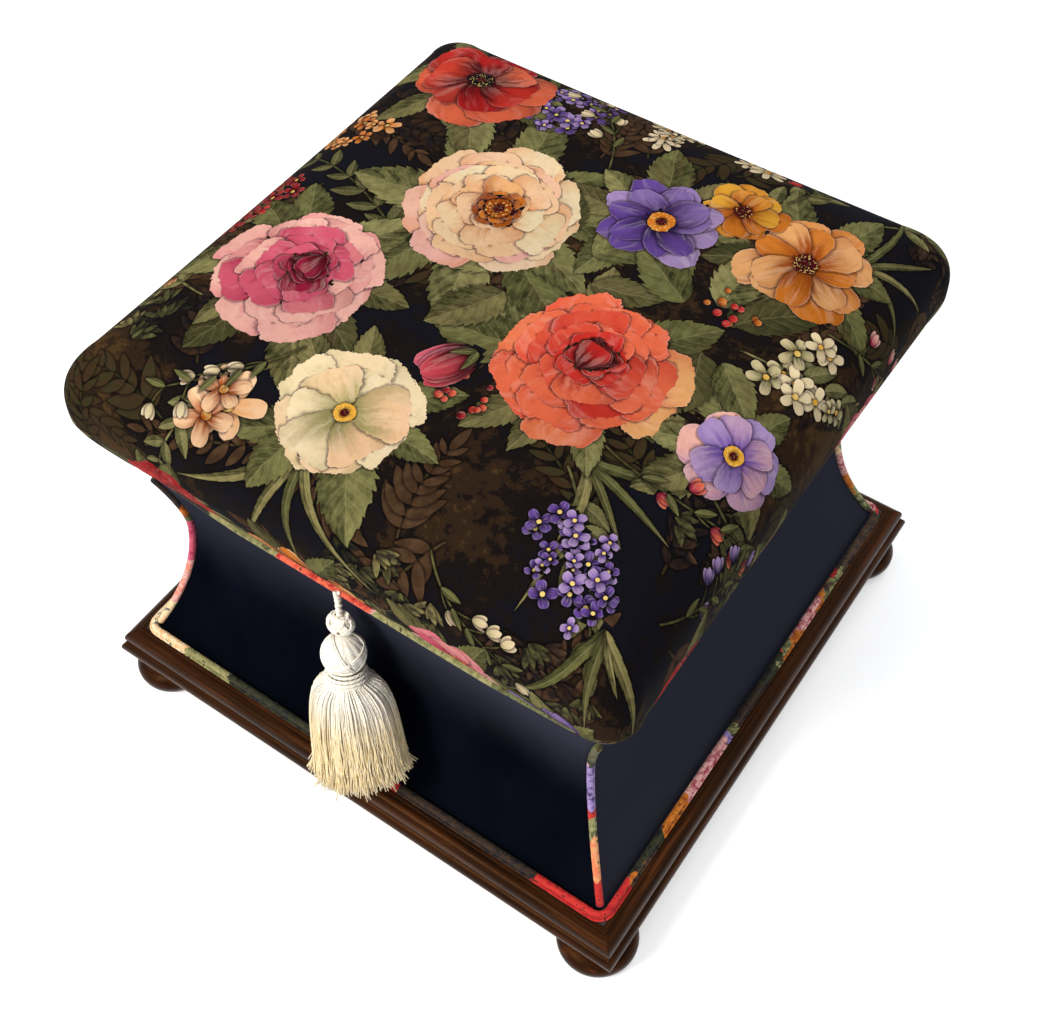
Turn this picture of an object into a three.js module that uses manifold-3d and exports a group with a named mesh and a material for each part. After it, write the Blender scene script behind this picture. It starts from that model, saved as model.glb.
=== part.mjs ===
// A square, lidded box footstool: waisted velvet sides over a hollow box, a deep cushioned lid on a
// continuous hinge, covered piping on every seam, a moulded plinth on bun feet and a silk tassel pull.
// Millimetres, +Z up, origin on the floor under the middle, front towards -Y.
import * as THREE from "three";
import { mergeVertices } from "three/addons/utils/BufferGeometryUtils.js";
import Module from "manifold-3d";

const wasm = await Module();
wasm.setup();

// Clearances
const fitGap = 0.3; // between two pieces that touch
const overrun = 5; // how far a cutter runs past what it cuts

// Bun feet
const footRadius = 24.7;
const footHeight = 21.7;
const footBulge = 10; // from the flat sole's edge out to the widest ring
const footWidestZ = 10.9;
const footNeckDrop = 2.9; // from the foot's top down to its neck
const footNeckInset = 7;
const tenonRadius = 5;
const tenonLength = 14;
const tenonWall = 1.9; // from the bore out to the corner block's outer faces

// Moulded plinth
const plinthLedge = 19; // from the body's foot out to the plinth's widest line
const railThickness = 14;
const quirkDrop = 1.6;
const quirkWidth = 1.2;
const ovoloWidth = 6.8;
const ovoloHeight = 7.9;
const ovoloSetback = 3; // from the torus's widest line in to the ovolo's
const coveDepth = 2.1;
const coveHeight = 3.4;
const torusDepth = 5.4;
const torusHeight = 11.4;
const fasciaSetback = 8;
const fasciaStep = 2.2;
const fasciaHeight = 3.5;
const baseBoardThickness = 12;
const blockWidth = 44;
const blockChamfer = 16;

// Waisted body
const waistHalf = 142;
const bodyFootFlare = 29.5; // from the waist out to the body's foot
const bodyHeadFlare = 9; // and out to its head
const bodyHeight = 149.5; // from the plinth's top to the rim's covered top
const waistHeight = 105;
const lowerFlarePower = 1.8;
const upperFlarePower = 1.5;
const velvetThickness = 2;
const panelThickness = 3;
const boxWall = 12;
const rimHeight = 14.2;
const liningThickness = 2;
const formerWidth = 10;
const formerHeight = 44;
const seamRoom = 3.6; // how far a velvet side stops short of its corner, for the piping
const foldNotch = 6; // how much of the rim's fold the corner seam reaches into

// Covered piping
const pipingRadius = 2.3;
const pipingFlange = 1.3;
const pipingFlangeThickness = 1.1;
const basePipingCorner = 7;
const cornerPipingInset = 0.1;

// Lid
const lidPipingSetback = 1; // from the body's head in to the lid piping's middle line
const lidPipingCorner = 17;
const lidBoardInset = 2; // from the lid piping's middle line in to the board's edge
const lidBoardThickness = 12;
const lidLiningInset = 5;
const lidLiningThickness = 1.6;
const coverThickness = 2;
const coverTurnUnder = 9;
const cushionOverhang = 26; // from the lid piping's middle line out to the cushion's widest
const cushionBulgeHeight = 59;
const cushionCrownHeight = 55;
const crownHalfPower = 5.4;
const crownHeightPower = 3;
const cushionCorner = 21.5;
const cushionEdgeCorner = 18;
const cushionEar = 3.3; // how far each corner is stuffed out past its rounding
const cushionDrawIn = 1.2; // how far each side is pulled in between its corners
const cushionFlarePower = 1.4;

// Continuous hinge
const lidPipingTail = 2.7; // the piping's straight end, between the lid's corner and the hinge
const leafWidth = 26;
const leafThickness = 1.2;
const knuckleRadius = 2.7;
const knuckleCount = 11;
const knuckleGap = 0.4;
const hingePinRadius = 1.2;
const hingeScrewEnd = 14; // from the hinge's end to its first screw
const hingeScrewsPerLeaf = 5;
const hingeScrewSetback = 19; // from the hinge's axis to the screws
const screwHeadRadius = 3;
const screwHeadDepth = 1.5;
const screwRadius = 1.5;
const screwLength = 11.5;
const screwPointLength = 3;

// Tassel
const tasselOffset = -12.5; // sewn on a little to the left of the front's middle
const cordRadius = 2.15;
const cordDrop = 2.4; // from the lid piping's underside down to where the cord bends
const tasselLean = THREE.MathUtils.degToRad(16); // the skirt hangs out over the flare and the plinth
const tasselTilt = THREE.MathUtils.degToRad(11.5); // and a little to the right
const cordLength = 9;
const knotRadius = 9.3;
const knotHeight = 14.5;
const knotDepthShare = 0.72; // the knot is wound flat from front to back
const headRadius = 12.7;
const headHeight = 25.5;
const neckRadius = 11.5;
const neckHeight = 10;
const bindingRadius = 1.05;
const bindingPitch = 2.75;
const bindingTurns = 3;
const hemRise = 19.7; // from the plinth's top up to the middle of the hem
const skirtHalfWidth = 29;
const skirtDepthShare = 0.64; // the skirt is flattened from front to back
const fluteDepth = 0.7;
const fluteCount = 16;

// Fineness of the round forms
const footSegments = 20;
const arcSteps = 5;
const pipingSides = 8;
const cornerPipingSteps = 18;
const flareSteps = 14;
const roundedCornerSteps = 4;
const cushionCornerSteps = 6;
const cushionSideSteps = 3;
const knuckleSides = 12;
const screwSegments = 10;
const tasselSegments = 16;
const bindingStepsPerTurn = 24;
const bindingSides = 6;

// Levels and half widths that follow from the sizes above
const bodyFootHalf = waistHalf + bodyFootFlare;
const bodyHeadHalf = waistHalf + bodyHeadFlare;
const plinthHalf = bodyFootHalf + plinthLedge;
const lidPipingHalf = bodyHeadHalf - lidPipingSetback;
const cushionHalf = lidPipingHalf + cushionOverhang;
const plinthUnderZ = footHeight + fitGap;
const plinthHeight = quirkDrop + ovoloHeight + coveHeight + torusHeight + fasciaStep + fasciaHeight;
const plinthTopZ = plinthUnderZ + plinthHeight;
const railInnerHalf = plinthHalf - railThickness;
const boardTopZ = plinthTopZ;
const boardUnderZ = boardTopZ - baseBoardThickness;
const boardHalf = railInnerHalf - fitGap;
const blockReach = tenonRadius + fitGap + tenonWall; // from the bore's middle out to the block's outer faces
const footCentre = boardHalf - blockReach;
const standZ = boardTopZ + fitGap; // what stands on the base board starts here
const waistZ = plinthTopZ + waistHeight;
const seatZ = plinthTopZ + bodyHeight;
const rimTopZ = seatZ - velvetThickness - fitGap;
const rimUnderZ = rimTopZ - rimHeight;
const skinGap = velvetThickness + fitGap; // from the velvet's face in to what it covers
const boxOuterHalf = waistHalf - skinGap - panelThickness - fitGap;
const boxInnerHalf = boxOuterHalf - boxWall;
const basePipingHalf = bodyFootHalf + fitGap + pipingRadius;
const lidPipingZ = seatZ + fitGap + pipingRadius;
const coverUnderZ = lidPipingZ + pipingRadius + fitGap;
const lidBoardUnderZ = coverUnderZ + coverThickness + fitGap;
const lidBoardTopZ = lidBoardUnderZ + lidBoardThickness;
const lidBoardHalf = lidPipingHalf - lidBoardInset;
const lidLiningTopZ = coverUnderZ - fitGap;
const cushionWidestZ = coverUnderZ + cushionBulgeHeight;
const boxLeafZ = seatZ + fitGap;
const lidLeafZ = boxLeafZ + leafThickness + fitGap;
const hingeAxisZ = lidLeafZ - fitGap / 2;
const hingeAxisY = bodyHeadHalf + knuckleRadius + fitGap;
const tasselPivotY = -(lidPipingHalf + pipingRadius + fitGap + cordRadius);
const tasselPivotZ = lidPipingZ - pipingRadius - cordDrop;
const tasselReach = (tasselPivotZ - plinthTopZ - hemRise) / (Math.cos(tasselLean) * Math.cos(tasselTilt));
const skirtLength = tasselReach - cordLength - knotHeight - headHeight - 2 * fitGap;
const hingeLength = 2 * (lidPipingHalf - lidPipingCorner - lidPipingTail - pipingRadius);

const velvetBlue = new THREE.MeshStandardMaterial({ color: 0x0b101c, roughness: 0.85, metalness: 0 });
const mahogany = new THREE.MeshStandardMaterial({ color: 0x2e1710, roughness: 0.3, metalness: 0 });
const floralPrint = new THREE.MeshStandardMaterial({ color: 0x2a2620, roughness: 0.8, metalness: 0 });
const pipingCloth = new THREE.MeshStandardMaterial({ color: 0x6f4a35, roughness: 0.8, metalness: 0 });
const silk = new THREE.MeshStandardMaterial({ color: 0xd9cfae, roughness: 0.45, metalness: 0 });
const plywood = new THREE.MeshStandardMaterial({ color: 0xc2a274, roughness: 0.75, metalness: 0 });
const softwood = new THREE.MeshStandardMaterial({ color: 0xd0b184, roughness: 0.75, metalness: 0 });
const foamYellow = new THREE.MeshStandardMaterial({ color: 0xe8dfb8, roughness: 0.95, metalness: 0 });
const liningCloth = new THREE.MeshStandardMaterial({ color: 0x15151b, roughness: 0.9, metalness: 0 });
const brass = new THREE.MeshStandardMaterial({ color: 0xa8843e, roughness: 0.35, metalness: 1 });

const sideNames = ["front", "right", "back", "left"];
const quarterTurn = Math.PI / 2;
const corners = [[1, -1], [1, 1], [-1, 1], [-1, -1]];
const cornerNames = ["front_right", "back_right", "back_left", "front_left"];

const stool = new THREE.Group();

function place(name, geometry, material, group = stool) {
  const mesh = new THREE.Mesh(geometry, material);
  mesh.name = name;
  group.add(mesh);
  return mesh;
}

const count = (n) => Array.from({ length: n }, (_, i) => i);

// Makes one closed skin of points and triangles, with its faces outward
function closedSkin(points, faces) {
  const positions = points.flatMap((p) => [p.x, p.y, p.z]);
  let volume = 0;
  for (let i = 0; i < faces.length; i += 3) {
    const [a, b, c] = [points[faces[i]], points[faces[i + 1]], points[faces[i + 2]]];
    volume += a.dot(b.clone().cross(c));
  }
  if (volume < 0) faces.reverse();
  const geometry = new THREE.BufferGeometry();
  geometry.setAttribute("position", new THREE.Float32BufferAttribute(positions, 3));
  geometry.setIndex(faces);
  geometry.computeVertexNormals();
  return geometry;
}

// Joins equal loops of points, one row after the next; with an outline, the first and last rows are closed
function loft(rows, outline) {
  const size = rows[0].length;
  const turned = outline && THREE.ShapeUtils.isClockWise(outline);
  const loops = turned ? rows.map((row) => [...row].reverse()) : rows;
  const flat = turned ? [...outline].reverse() : outline;
  const faces = [];
  const spans = flat ? loops.length - 1 : loops.length;
  for (const i of count(spans)) {
    const next = (i + 1) % loops.length;
    for (const j of count(size)) {
      const k = (j + 1) % size;
      const [a, b, c, d] = [i * size + j, i * size + k, next * size + j, next * size + k];
      faces.push(a, b, d, a, d, c);
    }
  }
  if (flat) {
    const last = (loops.length - 1) * size;
    for (const [p, q, r] of THREE.ShapeUtils.triangulateShape(flat, [])) {
      faces.push(p, r, q, last + p, last + q, last + r);
    }
  }
  return closedSkin(loops.flat(), faces);
}

function toSolid(geometry) {
  const bare = geometry.clone();
  bare.deleteAttribute("normal");
  bare.deleteAttribute("uv");
  const merged = mergeVertices(bare);
  return new wasm.Manifold(
    new wasm.Mesh({
      numProp: 3,
      vertProperties: new Float32Array(merged.attributes.position.array),
      triVerts: new Uint32Array(merged.index.array),
    }),
  );
}

function toGeometry(solid) {
  const mesh = solid.getMesh();
  const geometry = new THREE.BufferGeometry();
  geometry.setAttribute("position", new THREE.BufferAttribute(new Float32Array(mesh.vertProperties), 3));
  geometry.setIndex(new THREE.BufferAttribute(new Uint32Array(mesh.triVerts), 1));
  geometry.computeVertexNormals();
  return geometry;
}

const cutFrom = (geometry, cutters) =>
  toGeometry(cutters.reduce((solid, cutter) => solid.subtract(toSolid(cutter)), toSolid(geometry)));

const joined = (geometries) =>
  toGeometry(geometries.map(toSolid).reduce((whole, solid) => whole.add(solid)));

function block(sizeX, sizeY, lowZ, highZ, x = 0, y = 0) {
  const geometry = new THREE.BoxGeometry(sizeX, sizeY, highZ - lowZ);
  return geometry.translate(x, y, (lowZ + highZ) / 2);
}

// A flat square board with rounded corners
function roundedBoard(half, radius, lowZ, highZ) {
  const points = roundedStations(half, radius, roundedCornerSteps).map(
    ({ at, out }) => new THREE.Vector2(at[0] + out[0] * half, at[1] + out[1] * half),
  );
  const depth = highZ - lowZ;
  return new THREE.ExtrudeGeometry(new THREE.Shape(points), { depth, bevelEnabled: false }).translate(0, 0, lowZ);
}

function turnedForm(profile, segments) {
  return new THREE.LatheGeometry(profile.map(([r, z]) => new THREE.Vector2(r, z)), segments)
    .rotateX(quarterTurn);
}

// Points on part of an ellipse, its angles in quarter turns
function arc(centreD, centreZ, reachD, reachZ, from, to, steps = arcSteps) {
  return count(steps + 1).map((i) => {
    const angle = (from + ((to - from) * i) / steps) * quarterTurn;
    return [centreD + reachD * Math.cos(angle), centreZ + reachZ * Math.sin(angle)];
  });
}

// Stations round a square: a section point at distance d from the middle lies at "at" plus d times "out"
const sharpStations = corners.map(([x, y]) => ({ at: [0, 0], out: [x, y] }));

function cornerStations(k, half, radius, steps) {
  const [x, y] = corners[k];
  const centre = half - radius;
  return count(steps + 1).map((i) => {
    const angle = (k - 1 + i / steps) * quarterTurn;
    const out = [Math.cos(angle), Math.sin(angle)];
    return { at: [centre * (x - out[0]), centre * (y - out[1])], out };
  });
}

const roundedStations = (half, radius, steps) =>
  count(corners.length).flatMap((k) => cornerStations(k, half, radius, steps));

const rowsAt = (stations, section) =>
  stations.map(({ at, out }) =>
    section.map(([d, z]) => new THREE.Vector3(at[0] + out[0] * d, at[1] + out[1] * d, z)),
  );

const outlineOf = (section) => section.map(([d, z]) => new THREE.Vector2(d, z));

// A side between two mitred corners, at the front; a third number in a section point cuts its ends short
function mitredSide(section) {
  const rows = [-1, 1].map((hand) =>
    section.map(([d, z, short = fitGap / 2]) => new THREE.Vector3(hand * (d - short), -d, z)),
  );
  return loft(rows, outlineOf(section));
}

function placeOnFourSides(name, geometry, material) {
  for (const [k, side] of sideNames.entries()) {
    place(name + "_" + side, geometry, material).rotation.z = k * quarterTurn;
  }
}

const roundOutline = (radius, sides) =>
  count(sides).map((i) => {
    const angle = (i / sides) * 2 * Math.PI;
    return new THREE.Vector2(radius * Math.cos(angle), radius * Math.sin(angle));
  });

function tube(curve, radius, steps, sides) {
  const frames = curve.computeFrenetFrames(steps, false);
  const outline = roundOutline(radius, sides);
  const rows = frames.normals.map((normal, i) =>
    outline.map((p) =>
      curve.getPointAt(i / steps).addScaledVector(normal, p.x).addScaledVector(frames.binormals[i], p.y),
    ),
  );
  return loft(rows, outline);
}

// How far the velvet's face stands from the middle at a height
function faceHalf(z) {
  const low = z < waistZ;
  const share = Math.abs(z - waistZ) / (low ? waistHeight : bodyHeight - waistHeight);
  const flare = (low ? bodyFootHalf : bodyHeadHalf) - waistHalf;
  return waistHalf + flare * share ** (low ? lowerFlarePower : upperFlarePower);
}

const flareLevels = (lowZ, highZ, steps = flareSteps) =>
  count(steps + 1).map((i) => lowZ + ((highZ - lowZ) * i) / steps);

function makeFeet() {
  const soleRadius = footRadius - footBulge;
  const neckRadiusHere = footRadius - footNeckInset;
  const neckZ = footHeight - footNeckDrop;
  const bulgeTopShare = 0.62; // of a quarter turn, where the upper bulge meets the neck
  const profile = [
    [0, 0],
    ...arc(soleRadius, footWidestZ, footBulge, footWidestZ, -1, 0),
    ...arc(soleRadius, footWidestZ, footBulge, neckZ - footWidestZ, 0, bulgeTopShare).slice(1),
    [neckRadiusHere, neckZ],
    [neckRadiusHere, footHeight],
    [tenonRadius, footHeight],
    [tenonRadius, footHeight + tenonLength],
    [0, footHeight + tenonLength],
  ];
  for (const [k, [x, y]] of corners.entries()) {
    const foot = place("bun_foot_" + cornerNames[k], turnedForm(profile, footSegments), mahogany);
    foot.position.set(x * footCentre, y * footCentre, 0);
  }
}

function makePlinth() {
  const ovoloOuter = plinthHalf - ovoloSetback;
  const ovoloTopZ = plinthTopZ - quirkDrop;
  const ovoloInner = ovoloOuter - ovoloWidth;
  const coveTopZ = ovoloTopZ - ovoloHeight;
  const torusTopZ = coveTopZ - coveHeight;
  const torusCentre = plinthHalf - torusDepth;
  const torusUnderZ = torusTopZ - torusHeight;
  const fasciaHalf = plinthHalf - fasciaSetback;
  const section = [
    [railInnerHalf, plinthUnderZ],
    [railInnerHalf, plinthTopZ],
    [ovoloInner - quirkWidth, plinthTopZ],
    [ovoloInner - quirkWidth, ovoloTopZ],
    ...arc(ovoloInner, coveTopZ, ovoloWidth, ovoloHeight, 1, 0),
    ...arc(ovoloOuter, (coveTopZ + torusTopZ) / 2, coveDepth, coveHeight / 2, 1, 3).slice(1, -1),
    ...arc(torusCentre, torusTopZ - torusHeight / 2, torusDepth, torusHeight / 2, 1, -1, arcSteps + 1),
    [fasciaHalf, torusUnderZ - fasciaStep],
    [fasciaHalf, plinthUnderZ],
  ];
  placeOnFourSides("plinth_rail", mitredSide(section), mahogany);

  const boardWidth = 2 * boardHalf;
  place("base_board", block(boardWidth, boardWidth, boardUnderZ, boardTopZ), plywood);
}

function makeCornerBlocks() {
  const inner = blockWidth - blockReach;
  const shape = new THREE.Shape([
    new THREE.Vector2(blockReach, blockReach),
    new THREE.Vector2(-inner, blockReach),
    new THREE.Vector2(-inner, blockChamfer - inner),
    new THREE.Vector2(blockChamfer - inner, -inner),
    new THREE.Vector2(blockReach, -inner),
  ]);
  shape.holes.push(new THREE.Path(roundOutline(tenonRadius + fitGap, footSegments)));
  const depth = boardUnderZ - fitGap - (plinthUnderZ + fitGap);
  const geometry = new THREE.ExtrudeGeometry(shape, { depth, bevelEnabled: false });
  for (const [k, [x, y]] of corners.entries()) {
    const mesh = place("corner_block_" + cornerNames[k], geometry, softwood);
    mesh.position.set(x * footCentre, y * footCentre, plinthUnderZ + fitGap);
    mesh.rotation.z = (k - 1) * quarterTurn;
  }
}

function makeBox() {
  const topZ = rimUnderZ - fitGap;
  const wallMiddle = boxInnerHalf + boxWall / 2;
  const longWall = 2 * boxOuterHalf;
  const shortWall = 2 * (boxInnerHalf - fitGap);
  place("box_side_front", block(longWall, boxWall, standZ, topZ, 0, -wallMiddle), plywood);
  place("box_side_back", block(longWall, boxWall, standZ, topZ, 0, wallMiddle), plywood);
  place("box_side_left", block(boxWall, shortWall, standZ, topZ, -wallMiddle, 0), plywood);
  place("box_side_right", block(boxWall, shortWall, standZ, topZ, wallMiddle, 0), plywood);

  const liningOuter = 2 * (boxInnerHalf - fitGap);
  const liningInner = liningOuter - 2 * liningThickness;
  const tray = block(liningOuter, liningOuter, standZ, rimTopZ);
  const hollow = block(liningInner, liningInner, standZ + liningThickness, rimTopZ + overrun);
  place("box_lining", cutFrom(tray, [hollow]), liningCloth);
}

// Glue blocks on the diagonals, between the box's corners and the flaring side panels
function makeCornerFormers() {
  const diagonal = Math.SQRT2;
  const edgeAt = (z) =>
    (faceHalf(z) - skinGap - panelThickness - fitGap) * diagonal - formerWidth / 2;
  const innerEdge = boxOuterHalf * diagonal + fitGap;
  const topZ = standZ + formerHeight;
  const levels = flareLevels(standZ, topZ, arcSteps);
  const shape = new THREE.Shape([
    new THREE.Vector2(innerEdge, topZ),
    new THREE.Vector2(innerEdge, standZ),
    ...levels.map((z) => new THREE.Vector2(edgeAt(z), z)),
  ]);
  const geometry = new THREE.ExtrudeGeometry(shape, { depth: formerWidth, bevelEnabled: false });
  geometry.translate(0, 0, -formerWidth / 2).rotateX(quarterTurn);
  for (const [k, [x, y]] of corners.entries()) {
    place("corner_former_" + cornerNames[k], geometry, softwood).rotation.z = Math.atan2(y, x);
  }
}

function makeSidePanels() {
  const outer = flareLevels(standZ, rimUnderZ - fitGap).map((z) => [faceHalf(z) - skinGap, z]);
  const inner = outer.map(([d, z]) => [d - panelThickness, z]).reverse();
  placeOnFourSides("side_panel", mitredSide([...outer, ...inner]), plywood);
}

// Screws stand on the hinge's line, heads flush with their leaf
const hingeScrewPitch = (hingeLength - 2 * hingeScrewEnd) / (hingeScrewsPerLeaf - 1);
const hingeScrewPlaces = count(hingeScrewsPerLeaf).map(
  (i) => (i - (hingeScrewsPerLeaf - 1) / 2) * hingeScrewPitch,
);

function screwForm(grow = 0) {
  const shank = screwRadius + grow;
  const head = screwHeadRadius + grow;
  const rise = grow ? leafThickness : 0; // a cutter clears the head's mouth too
  return turnedForm(
    [
      [0, -screwLength - grow],
      [shank, screwPointLength - screwLength],
      [shank, -screwHeadDepth],
      [head, 0],
      ...(grow ? [[head, rise]] : []),
      [0, rise],
    ],
    screwSegments,
  );
}

// Down through the box leaf, or up through the lid leaf
function screwAt(x, down, grow) {
  const form = screwForm(grow);
  if (!down) form.rotateX(Math.PI);
  return form.translate(x, hingeAxisY - hingeScrewSetback, down ? boxLeafZ + leafThickness : lidLeafZ);
}

const screwHoles = (down) => hingeScrewPlaces.map((x) => screwAt(x, down, fitGap));

function makeRim() {
  const outer = flareLevels(rimUnderZ, rimTopZ, arcSteps).map((z) => [faceHalf(z) - skinGap, z]);
  const section = [[boxInnerHalf, rimTopZ], [boxInnerHalf, rimUnderZ], ...outer];
  place("rim_frame", cutFrom(loft(rowsAt(sharpStations, section)), screwHoles(true)), softwood);
}

function makeVelvet() {
  const levels = flareLevels(standZ, seatZ);
  const foldInner = boxInnerHalf + fitGap;
  const notch = bodyHeadHalf - foldNotch;
  const outside = levels.map((z) => [faceHalf(z), z, seamRoom]);
  const inside = flareLevels(standZ, rimTopZ + fitGap).map((z) => [
    faceHalf(z) - velvetThickness,
    z,
    seamRoom,
  ]);
  const section = [
    ...outside,
    [notch, seatZ, seamRoom],
    [notch - fitGap, seatZ],
    [foldInner, seatZ],
    [foldInner, rimTopZ + fitGap],
    [notch - fitGap, rimTopZ + fitGap],
    [notch, rimTopZ + fitGap, seamRoom],
    ...inside.reverse(),
  ];
  const side = mitredSide(section);
  for (const [k, name] of sideNames.entries()) {
    const turned = side.clone().rotateZ(k * quarterTurn);
    const geometry = name === "back" ? cutFrom(turned, screwHoles(true)) : turned;
    place("velvet_" + name, geometry, velvetBlue);
  }
}

function makePiping() {
  const centreZ = standZ + pipingRadius;
  const flangeTopZ = standZ + pipingFlangeThickness;
  const flangeHalf = basePipingHalf + pipingRadius + pipingFlange;
  const meet = Math.asin((centreZ - flangeTopZ) / pipingRadius) / quarterTurn;
  const section = [
    [basePipingHalf, standZ],
    [flangeHalf, standZ],
    [flangeHalf, flangeTopZ],
    ...arc(basePipingHalf, centreZ, pipingRadius, pipingRadius, -meet, 3, pipingSides).slice(0, -1),
  ];
  const stations = roundedStations(basePipingHalf, basePipingCorner, roundedCornerSteps);
  place("base_piping", loft(rowsAt(stations, section)), pipingCloth);

  const lowZ = standZ + 2 * pipingRadius + fitGap + cornerPipingInset;
  const route = flareLevels(lowZ, seatZ - pipingRadius / 2, cornerPipingSteps).map((z) => {
    const half = faceHalf(z) - cornerPipingInset;
    return new THREE.Vector3(half, -half, z);
  });
  const curve = new THREE.CatmullRomCurve3(route);
  const seam = tube(curve, pipingRadius, cornerPipingSteps, pipingSides);
  for (const [k, name] of cornerNames.entries()) {
    place("corner_piping_" + name, seam, pipingCloth).rotation.z = k * quarterTurn;
  }
}

// The cushioned lid's outline, from the crown's middle out and down to the edge over the lid piping
function cushionProfile() {
  const crownShares = [0.1, 0.34, 0.55, 0.7, 0.8, 0.875, 0.93, 0.965, 0.988, 1];
  const crown = crownShares.map((share) => ({
    half: cushionHalf * share,
    corner: cushionCorner * share,
    fullness: share ** crownHalfPower,
    z: cushionWidestZ + cushionCrownHeight * (1 - share ** crownHalfPower) ** (1 / crownHeightPower),
  }));
  const bulge = count(arcSteps).map((i) => {
    const rise = 1 - (i + 1) / arcSteps;
    const share = 1 - (1 - rise) ** cushionFlarePower;
    return {
      half: lidPipingHalf + (cushionHalf - lidPipingHalf) * share,
      corner: cushionEdgeCorner + (cushionCorner - cushionEdgeCorner) * share,
      fullness: rise,
      z: coverUnderZ + cushionBulgeHeight * rise,
    };
  });
  return [...crown, ...bulge];
}

// The same outline moved in by a thickness, square to itself
function insetProfile(inset) {
  const profile = cushionProfile();
  const last = profile.length - 1;
  return profile.map(({ half, corner, fullness, z }, i) => {
    const before = profile[Math.max(i - 1, 0)];
    const after = profile[Math.min(i + 1, last)];
    const run = Math.hypot(after.half - before.half, after.z - before.z);
    const out = i === last ? 0 : (before.z - after.z) / run;
    const up = i === last ? -1 : (after.half - before.half) / run;
    return { half: half - inset * out, corner: Math.max(corner - inset, inset), fullness, z: z - inset * up };
  });
}

// One level of the cushion, its corners stuffed out and its sides drawn in
function ringOf({ half, corner, fullness = 0, z }) {
  const rounded = count(corners.length).map((k) =>
    cornerStations(k, half, corner, cushionCornerSteps).map(({ at, out }, i) => {
      const reach = half + cushionEar * fullness * Math.sin((Math.PI * i) / cushionCornerSteps);
      return new THREE.Vector3(at[0] + out[0] * reach, at[1] + out[1] * reach, z);
    }),
  );
  return rounded.flatMap((points, k) => {
    const next = rounded[(k + 1) % corners.length][0];
    const inward = new THREE.Vector3(-Math.cos(k * quarterTurn), -Math.sin(k * quarterTurn), 0);
    const side = count(cushionSideSteps - 1).map((i) => {
      const share = (i + 1) / cushionSideSteps;
      const drawn = cushionDrawIn * fullness * Math.sin(Math.PI * share);
      return points[cushionCornerSteps].clone().lerp(next, share).addScaledVector(inward, drawn);
    });
    return [...points, ...side];
  });
}

const flatRing = (ring) => ring.map((p) => new THREE.Vector2(p.x, p.y));

function makeLid() {
  const coverInside = insetProfile(coverThickness);
  const turnUnderHalf = lidPipingHalf - coverTurnUnder;
  const hem = { half: turnUnderHalf, corner: coverThickness };
  const coverRows = [
    ...cushionProfile(),
    { ...hem, z: coverUnderZ },
    { ...hem, z: coverUnderZ + coverThickness },
    ...coverInside.reverse(),
  ].map(ringOf);
  place("lid_cover", loft(coverRows, flatRing(coverRows[0])), floralPrint);

  const foamProfile = insetProfile(coverThickness + fitGap);
  const foamRows = foamProfile.map(ringOf);
  const foam = loft(foamRows, flatRing(foamRows[0]));
  const boardCorner = lidPipingCorner - lidBoardInset;
  const pocket = roundedBoard(
    lidBoardHalf + fitGap,
    boardCorner + fitGap,
    lidBoardUnderZ - overrun,
    lidBoardTopZ + fitGap,
  );
  place("lid_foam", cutFrom(foam, [pocket]), foamYellow);

  const board = roundedBoard(lidBoardHalf, boardCorner, lidBoardUnderZ, lidBoardTopZ);
  place("lid_board", cutFrom(board, screwHoles(false)), plywood);

  const lining = roundedBoard(
    lidPipingHalf - lidLiningInset,
    lidPipingCorner - lidLiningInset,
    lidLiningTopZ - lidLiningThickness,
    lidLiningTopZ,
  );
  place("lid_lining", cutFrom(lining, screwHoles(false)), liningCloth);

  const section = roundOutline(pipingRadius, pipingSides).map((p) => [lidPipingHalf + p.x, lidPipingZ + p.y]);
  const gapHalf = hingeLength / 2 + pipingRadius;
  const [frontRight, backRight, backLeft, frontLeft] = count(corners.length).map((k) =>
    cornerStations(k, lidPipingHalf, lidPipingCorner, roundedCornerSteps),
  );
  const stations = [
    { at: [-gapHalf, 0], out: [0, 1] },
    ...backLeft,
    ...frontLeft,
    ...frontRight,
    ...backRight,
    { at: [gapHalf, 0], out: [0, 1] },
  ];
  place("lid_piping", loft(rowsAt(stations, section), outlineOf(section)), pipingCloth);
}

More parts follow.
